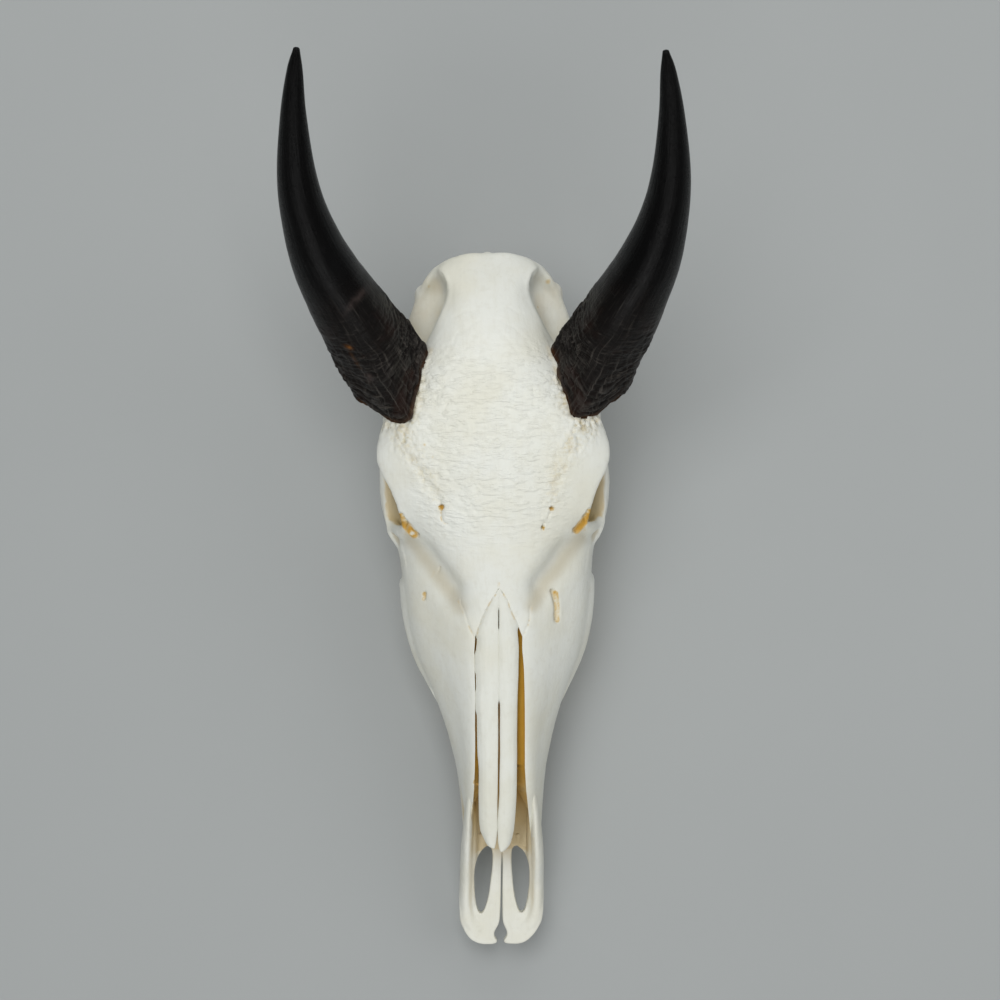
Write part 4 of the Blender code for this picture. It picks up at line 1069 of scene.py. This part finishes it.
def hornRing(rows, k, shrink, sides):
    # keeled in front and ragged at the base, round at the tip
    along, side, front = (part[k] for part in directions(rows[:, :3], (0, 0.2, 1)))
    angles = np.arange(sides) * 2 * np.pi / sides
    share = rows[k, 5]
    fade = max(0.0, 1 - share / horn["footShare"])
    fade = fade * fade * (3 - 2 * fade)
    table = np.array(horn["foot"], float)
    reach, slide, lift = easeBetween(table[:, 0], table[:, 1:], np.degrees(angles)).T
    radius = (1 + horn["keel"] * (1 - share) ** 1.5 * np.cos(3 * (angles - np.pi / 2))) * (1 - fade * (1 - reach))
    across = max(rows[k, 3] - shrink, 0.3) * radius * np.cos(angles)
    ahead = max(rows[k, 4] - shrink, 0.3) * radius * np.sin(angles)
    ring = rows[k, :3] + np.outer(across, side) + np.outer(ahead, front) + np.outer(slide * fade, along)
    ring[:, 2] += lift * fade
    return ring


def growthRings():
    # geometry nodes that press growth rings and lengthwise ribs into a smooth sheath
    tree = bpy.data.node_groups.new("growth rings", "GeometryNodeTree")
    tree.interface.new_socket("Geometry", in_out="INPUT", socket_type="NodeSocketGeometry")
    for name in ("Ring Spacing", "Ring Depth", "Rib Depth", "Swell Depth", "Ragged Edge", "Seed"):
        tree.interface.new_socket(name, in_out="INPUT", socket_type="NodeSocketFloat")
    tree.interface.new_socket("Finish", in_out="INPUT", socket_type="NodeSocketMaterial")
    tree.interface.new_socket("Geometry", in_out="OUTPUT", socket_type="NodeSocketGeometry")
    graph = Graph(tree)
    entry = tree.nodes.new("NodeGroupInput")
    given = {socket.name: Wire(graph, socket) for socket in entry.outputs if socket.name}

    def stored(name, kind="FLOAT"):
        return graph.add("GeometryNodeInputNamedAttribute", {"data_type": kind}, {"Name": name})

    grain, share, along, outer = stored("grain", "FLOAT_VECTOR"), stored("share"), stored("along"), stored("outer")
    seeded = graph.vector("ADD", grain, graph.add("ShaderNodeCombineXYZ", {}, {"Z": given["Seed"]}))
    # uneven ridges that follow the cut edge: noise drawn out round the horn
    drawnOut = graph.vector("MULTIPLY", seeded, (0.3, 0.3, 1.0))
    wander = graph.noise(seeded, 60.0, 3.0, 0.6)
    lifted = graph.vector("ADD", drawnOut, graph.add("ShaderNodeCombineXYZ", {}, {"Z": wander * 0.006}))
    ridge = graph.noise(lifted, 1.0 / (given["Ring Spacing"] * mm), 1.5, 0.5)
    patch = graph.between(graph.noise(seeded, 48.0, 2.0), 0.3, 0.62)
    nearBase = 1.0 - graph.between(share + wander * 0.12, 0.12, 0.4)
    fineRidge = graph.noise(lifted, 2.6 / (given["Ring Spacing"] * mm), 1.5, 0.5)
    ridges = graph.between(ridge, 0.36, 0.62) * 0.75 + graph.between(fineRidge, 0.36, 0.64) * 0.25
    ringHeight = ridges * nearBase * (patch * 0.75 + 0.25)
    rib = graph.noise(graph.vector("MULTIPLY", seeded, (1.0, 1.0, 0.09)), 420.0, 2.0)
    swell = graph.noise(graph.vector("MULTIPLY", seeded, (0.35, 0.35, 1.0)), 55.0, 1.0)
    fading = 1.0 - graph.between(share, 0.3, 0.75)
    height = ((ringHeight - 0.35 * nearBase) * given["Ring Depth"]
              + (rib - 0.5) * given["Rib Depth"] * 2.0 * (nearBase * 0.85 + 0.15)
              + (swell - 0.92) * given["Swell Depth"] * 2.0 * fading)
    normal = graph.add("GeometryNodeInputNormal", {}, {})
    offset = graph.add("ShaderNodeVectorMath", {"operation": "SCALE"},
                       {0: normal, "Scale": height * outer * mm})
    moved = graph.add("GeometryNodeSetPosition", {}, {"Geometry": given["Geometry"], "Offset": offset})
    edge = graph.noise(graph.vector("MULTIPLY", seeded, (1.0, 1.0, 0.0)), 210.0, 3.0, 0.7)
    chipped = (edge - 0.5) * 2.0 * given["Ragged Edge"] * stored("edge") * mm
    slip = graph.add("ShaderNodeVectorMath", {"operation": "SCALE"}, {0: stored("run", "FLOAT_VECTOR"), "Scale": chipped})
    moved = graph.add("GeometryNodeSetPosition", {}, {"Geometry": moved, "Offset": slip})
    moved = graph.add("GeometryNodeStoreNamedAttribute", {"data_type": "FLOAT", "domain": "POINT"},
                      {"Geometry": moved, "Name": "ring", "Value": ringHeight})
    moved = graph.add("GeometryNodeRealizeInstances", {}, {"Geometry": moved})
    moved = graph.add("GeometryNodeSetMaterial", {}, {"Geometry": moved, "Material": given["Finish"]})
    graph.plug(moved, tree.nodes.new("NodeGroupOutput").inputs["Geometry"])
    return tree


def hornSheath(name, lengthShare, flip, tree, seed):
    sides = horn["sides"]
    shares = np.concatenate([np.linspace(0, 0.36, 150), np.linspace(0.36, 1, 120)[1:]])
    rows = hornRows(shares, lengthShare)
    inside = hornRows(np.linspace(0, horn["insideReach"] / rows[-1, 6], 14), lengthShare)
    rings, along, outer, edge = [], [], [], []
    for k in range(len(inside) - 1, 0, -1):
        rings.append(hornRing(inside, k, horn["wall"], sides))
        along.append(inside[k, 6])
        outer.append(0)
        edge.append(max(0.0, 1 - inside[k, 6] / 5))
    for shrink in (horn["wall"], horn["wall"] * 0.6, horn["wall"] * 0.2):
        rings.append(hornRing(rows, 0, shrink, sides))
        along.append(0)
        outer.append(0.2)
        edge.append(1)
    for k in range(len(rows)):
        rings.append(hornRing(rows, k, 0, sides))
        along.append(rows[k, 6])
        outer.append(1)
        edge.append(max(0.0, 1 - rows[k, 6] / 5))
    points, faces = skin(rings)
    obj = makeObject(name, [(points * (-1, 1, 1) if flip else points, faces)])
    count = len(rings)
    angles = np.arange(sides) * 2 * np.pi / sides
    ends = [0, count - 1]

    def spread(values):
        values = np.repeat(np.asarray(values, float), sides)
        return np.concatenate([values, values[[k * sides for k in ends]]])

    along, outer, edge = np.array(along), np.array(outer), np.array(edge)
    paint(obj, "along", spread(along))
    paint(obj, "share", spread(along / rows[-1, 6]))
    paint(obj, "outer", spread(outer))
    paint(obj, "edge", spread(edge))
    grain = np.column_stack([np.tile(np.cos(angles), count) * 0.021, np.tile(np.sin(angles), count) * 0.021,
                             np.repeat(along * mm, sides)])
    grain = np.vstack([grain, [(0, 0, along[0] * mm), (0, 0, along[-1] * mm)]])
    layer = obj.data.attributes.new("grain", "FLOAT_VECTOR", "POINT")
    layer.data.foreach_set("vector", grain.astype(np.float32).ravel())
    run = directions(rows[:, :3], (0, 0.2, 1))[0][0] * ((-1 if flip else 1), 1, 1)
    layer = obj.data.attributes.new("run", "FLOAT_VECTOR", "POINT")
    layer.data.foreach_set("vector", np.tile(run, (len(grain), 1)).astype(np.float32).ravel())

    growth = obj.modifiers.new("growth rings", "NODES")
    growth.node_group = tree
    values = {"Ring Spacing": horn["ringSpacing"], "Ring Depth": horn["ringDepth"], "Rib Depth": horn["ribDepth"],
              "Swell Depth": horn["swellDepth"], "Ragged Edge": horn["raggedEdge"], "Seed": seed,
              "Finish": hornMaterial}
    for item in tree.interface.items_tree:
        if item.item_type == "SOCKET" and item.name in values:
            growth[item.identifier] = values[item.name]
    settle(obj)
    points = readPoints(obj)
    share = np.empty(len(points), np.float32)
    obj.data.attributes["share"].data.foreach_get("value", share)
    amber = 0.15 * hump(share, 0.011) * (0.6 + 0.6 * noiseAt(points, 4.0, 51))
    pale = np.zeros(len(points))
    # amber spots and a pale blotch in the keratin, plus one pale streak that is a painted sheen
    for name, spots in (("amber", horn["amberSpots"]), ("pale", horn["paleBlotchAndSheenSpots"])):
        for spot, (long, wide), lean, amount in spots if flip else []:
            gap = points[:, :2] - spot
            lean = np.radians(lean)
            down = (gap @ (np.cos(lean), np.sin(lean))) / long
            over = (gap @ (-np.sin(lean), np.cos(lean))) / wide
            patch = amount * hump(np.hypot(down, over), 1.0) * (0.7 + 0.6 * noiseAt(points, 1.8, 52))
            if name == "amber":
                amber = np.maximum(amber, patch)
            else:
                pale = np.maximum(pale, patch)
    paint(obj, "pale", np.clip(pale, 0, 1))
    paint(obj, "amber", np.clip(amber, 0, 1))
    side = "right" if flip else "left"
    dress(obj, hornMaterial, "horn", "horn_sheath_" + side)
    return obj


nasals = {
    # (station, x) of the outer edges. Where an edge crosses the slot's edge the seam is closed
    "outerEdge": {
        "right": [(61.7, -4.1), (62.8, -5.9), (64.5, -7.4), (68.4, -9.3), (72.8, -10.8), (79, -11.3), (95, -11.1),
                  (107, -10.8), (119, -11.2), (129, -11.2), (138, -11.2), (141, -11.9), (150, -11.75), (153, -11.2),
                  (160, -11.2), (163, -11.8), (171, -11.8), (174, -10.9), (180, -10.2), (182.5, -11.0),
                  (188, -8.8), (196, -5.2), (203, -0.9), (206.5, 1.9), (208, 2.5)],
        "left": [(59.6, 1.2), (61.4, 3.7), (64.7, 6.2), (72, 8.0), (79.5, 8.8), (101, 10.2), (129, 10.8),
                 (151, 11.5), (162, 12.2), (174, 12.6), (180, 12.3), (184, 12.0), (187.5, 12.3), (196, 9.1),
                 (203, 6.1), (206.5, 3.3), (208, 2.7)],
    },
    # the line where the two meet, and half the width of the slit along it
    "middle": [(59, 0.9), (61.5, -0.2), (66, -0.9), (72, -1.1), (95.6, -0.1), (121, 0.7), (146, 1.2), (196, 2.1),
               (208, 2.6)],
    "slit": [(59, 0.0), (78, 0.2), (88, 0.55), (112, 0.8), (144, 0.75), (147, 0.12), (184, 0.12), (186.5, 0.5),
             (196, 0.5), (198, 0.0), (208, 0.0)],
    # station, height of the crown, thickness
    "crown": [(59.6, 72.2, 1.8), (64, 73.6, 2.2), (70, 76, 2.8), (79, 79.6, 3.4), (100, 87, 3.6), (140, 98.2, 3.8),
              (181, 109.2, 4.0), (192, 112.3, 4.0), (199, 114.3, 4.0), (206.5, 116.5, 3.8), (208, 117, 3.6)],
    "shrinkage": 0.3,           # what melting takes off an edge
    "drop": 3.2,
    "fullWidth": 9.0,
    # share of the width from the outer edge, share of the drop there
    "profile": [(0, 1.0), (0.04, 0.8), (0.1, 0.58), (0.22, 0.28), (0.42, 0.06), (0.62, 0.0), (0.82, 0.04),
                (0.93, 0.12), (1.0, 0.26)],
    "voxel": 0.5,
}


def nasalBone(side):
    edge, middle, slit = (np.array(rows, float) for rows in (nasals["outerEdge"][side], nasals["middle"], nasals["slit"]))
    crown = np.array(nasals["crown"], float)
    stations = np.arange(edge[0, 0], edge[-1, 0] + 0.01, 0.8)
    turn = 1 if side == "left" else -1
    outers = easeBetween(edge[:, 0], edge[:, 1], stations)
    inners = easeBetween(middle[:, 0], middle[:, 1], stations) + turn * np.interp(stations, *slit.T)
    inners -= turn * nasals["shrinkage"]
    outers = outers + turn * 1.4 * nasals["shrinkage"] * ramp(stations, 184, 187)
    if side == "right":     # its tip stands a little away from the middle
        inners = np.minimum(inners, np.interp(stations, [61.5, 66, 72.6, 74], [-3.0, -1.9, -1.0, 10]))
    across, drop = np.array(nasals["profile"]).T
    rings = []
    for station, outer, inner, (top, thick) in zip(stations, outers, inners,
                                                   easeBetween(crown[:, 0], crown[:, 1:], stations)):
        width = max(turn * (outer - inner), 0.4)
        x = inner + turn * width * (1 - across)
        upper = top - nasals["drop"] * min(1.0, width / nasals["fullWidth"]) * drop
        body = thick * (0.55 + 0.45 * np.sin(np.pi * np.clip(across, 0.08, 0.92)))
        ring = [(a, station, b) for a, b in zip(x, upper)]
        ring += [(a, station, b) for a, b in zip(x[::-1], (upper - body)[::-1])]
        rings.append(np.array(ring))
    return skin(rings)


def buildNasals():
    for side in ("left", "right"):
        obj = makeObject("nasalBone_" + side, [nasalBone(side)])
        melt(obj, nasals["voxel"], 2)
        points, normals = readPoints(obj), readNormals(obj)
        depth = 0.12 * noiseAt(points, (2.2, 30, 8), 61) + 0.1 * noiseAt(points, (5, 14, 6), 62)
        writePoints(obj, points - normals * depth[:, None])
        thinOut(obj, 70000)
        paintBone(obj, wrinkled=False)
        dress(obj, nasalMaterial, "nasal_bone", "nasal_bone_" + side)


muzzle = {
    "outerBar": [
        ((12, 10, 26.5), 6, 4.6), ((18.2, 15, 27.3), 5.2, 5.2), ((20, 25, 28.6), 3.9, 6.2),
        ((20, 40, 32.5), 3.9, 8.6), ((19.6, 56, 40.5), 4.0, 11.6), ((18.8, 71, 50.5), 3.4, 11),
        ((18.2, 82, 58), 2.8, 9), ((17.4, 92, 66), 2.2, 6.4), ((16.8, 103, 72.5), 1.4, 3.4),
    ],
    "innerSlope": [((16.4, 22, 27), 2.4, 4.2), ((17, 38, 30), 2.6, 6.4), ((16.8, 54, 36.5), 3.0, 9),
                   ((16.6, 70, 45), 3.0, 10), ((17, 84, 54), 2.6, 8)],
    # outline of the plate seen from above, and of the opening in it
    "plate": [
        (0.4, 62), (0.4, 46), (0.45, 32), (0.6, 20), (1.0, 14.5), (2.2, 11.2), (3.5, 8.6), (3.7, 6.6), (2.9, 4.8),
        (1.9, 3.4), (2.6, 1.9), (5.4, 1.35), (10, 1.4), (13.6, 2.2), (17, 4.4), (20, 8.0), (22.4, 13),
        (23.8, 18.5), (24.2, 26), (24, 38), (23.7, 50), (22.4, 58), (20, 64), (8, 64),
    ],
    "plateBottom": [(0, 23), (20, 22.6), (40, 24), (64, 25)],
    "plateTop": [(0, 30), (12, 31), (30, 31), (64, 31.5)],
    "opening": [
        (5.6, 54.5), (5.5, 46), (6.4, 37), (7.5, 29), (9.2, 22.5), (11.2, 19.3), (13.3, 21), (14.7, 26.5),
        (15.5, 34), (15.8, 42), (15, 49), (12.8, 54.3), (10, 57.2), (7.2, 57.4),
    ],
    # bone that slopes from the outer bar down to the opening
    "shelf": [((17.5, 42, 31), 2.5, 3.5), ((16.5, 50, 33), 3, 4.5), ((14.5, 57, 33), 5, 4), ((13, 66, 33), 6, 4)],
    "voxel": 0.55,
}


def buildMuzzle():
    for side, name in ((1, "left"), (-1, "right")):
        plate = slab(muzzle["plate"], muzzle["plateBottom"], muzzle["plateTop"])
        hole = slab(muzzle["opening"], [(0, 5), (64, 5)], [(0, 60), (64, 60)])
        shapes = [bar(muzzle[part]) for part in ("outerBar", "innerSlope", "shelf")] + [plate, hole]
        if side < 0:
            shapes = [mirrored(shape) for shape in shapes]
        obj = makeObject("premaxilla_" + name, shapes[:-1])
        melt(obj, muzzle["voxel"], 5)
        combine(obj, makeObject("opening", shapes[-1:]))
        melt(obj, muzzle["voxel"], 4)
        dropCrumbs(obj)
        points, normals = readPoints(obj), readNormals(obj)
        depth = 0.1 * noiseAt(points, (2.5, 14, 5), 71) + 0.12 * noiseAt(points, 5, 72)
        depth *= ramp(points[:, 0] * side, 0.7, 2.0)
        points[:, 0] += np.interp(points[:, 1], *sideShift)
        writePoints(obj, points - normals * depth[:, None])
        thinOut(obj, 80000)
        paintBone(obj, wrinkled=False)
        dress(obj, muzzleMaterial, "muzzle_bone", "premaxilla_" + name)


teeth = {
    # name, centre (x, station), length along the row, width, turn in degrees
    "rows": [
        ("premolar_2", (25.6, 139.5), 11.6, 10.4, 17),
        ("premolar_3", (29.3, 152.0), 12.6, 12.6, 15),
        ("premolar_4", (32.3, 165.0), 12.4, 14.0, 11),
        ("molar_1", (34.8, 180.6), 17.4, 15.6, 7),
        ("molar_2", (36.5, 200.0), 20.0, 16.6, 3),
        ("molar_3", (36.8, 221.4), 21.4, 16.0, -4),
    ],
    "top": 33.0,
    "neck": 22.0,
    "taper": 0.86,
    "outline": [(0.50, 0.50), (0.60, 0.26), (0.48, 0.06), (0.61, -0.02), (0.48, -0.24), (0.58, -0.48),
                (0.10, -0.50), (-0.30, -0.42), (-0.50, -0.20), (-0.40, 0.02), (-0.50, 0.24), (-0.28, 0.46)],
}


def crown(centre, length, width, turn):
    outline = roundLoop(teeth["outline"], 7)
    angle = np.radians(turn)
    spin = np.array([(np.cos(angle), -np.sin(angle)), (np.sin(angle), np.cos(angle))])
    around = np.arctan2(outline[:, 1], outline[:, 0])
    rings = []

    def ring(scale, height, relief):
        flat = outline * (width, length) * scale @ spin + centre
        rings.append(np.column_stack([flat, np.maximum(height + relief, 0)]))

    # the worn face, from its middle outwards: two crescent pits and a raised enamel edge
    for scale, height in ((0.12, 1.7), (0.3, 1.3), (0.42, 2.0), (0.55, 1.1), (0.7, 0.8), (0.85, 0.7), (0.93, 0.1)):
        ring(scale, height, 0.35 * np.cos(2 * around))
    ring(0.98, 0.0, np.zeros(len(outline)))
    for height in np.concatenate([[0.5], np.arange(1.5, teeth["top"], 1.0)]):
        taper = ramp(height, teeth["neck"], teeth["top"])
        wave = 1 + 0.006 * np.sin(height * 2.1) + 0.004 * np.sin(height * 5.3 + length)
        ring((1 - (1 - teeth["taper"]) * taper) * wave, height, np.zeros(len(outline)))
    return skin(rings)


def buildTeeth():
    for name, centre, length, width, turn in teeth["rows"]:
        for side in ("left", "right"):
            shape = crown(centre, length, width, turn)
            obj = makeObject(name.replace("_", "") + "_" + side, [shape if side == "left" else mirrored(shape)])
            shiftSideways(obj)
            points, normals, edges = readPoints(obj), readNormals(obj), readEdges(obj)
            # painted shade: darker the deeper a point lies in a pit or fold of the crown
            dent = np.einsum("ij,ij->i", soften(points, edges, 14) - points, normals)
            paint(obj, "hollow", np.clip(dent * 1.6, 0, 1))
            paint(obj, "gum", ramp(points[:, 2], 14, 24))
            dress(obj, enamelMaterial, "enamel", name + "_" + side)


buildCranium()
print("skull done")
ringTree = growthRings()
hornSheath("hornSheath_left", horn["leftLength"], False, ringTree, 0.31 * horn["seed"])
hornSheath("hornSheath_right", 1.0, True, ringTree, 0.57 * horn["seed"])
print("horns done")
buildNasals()
buildMuzzle()
buildTeeth()
print("nasal bones, muzzle and teeth done")
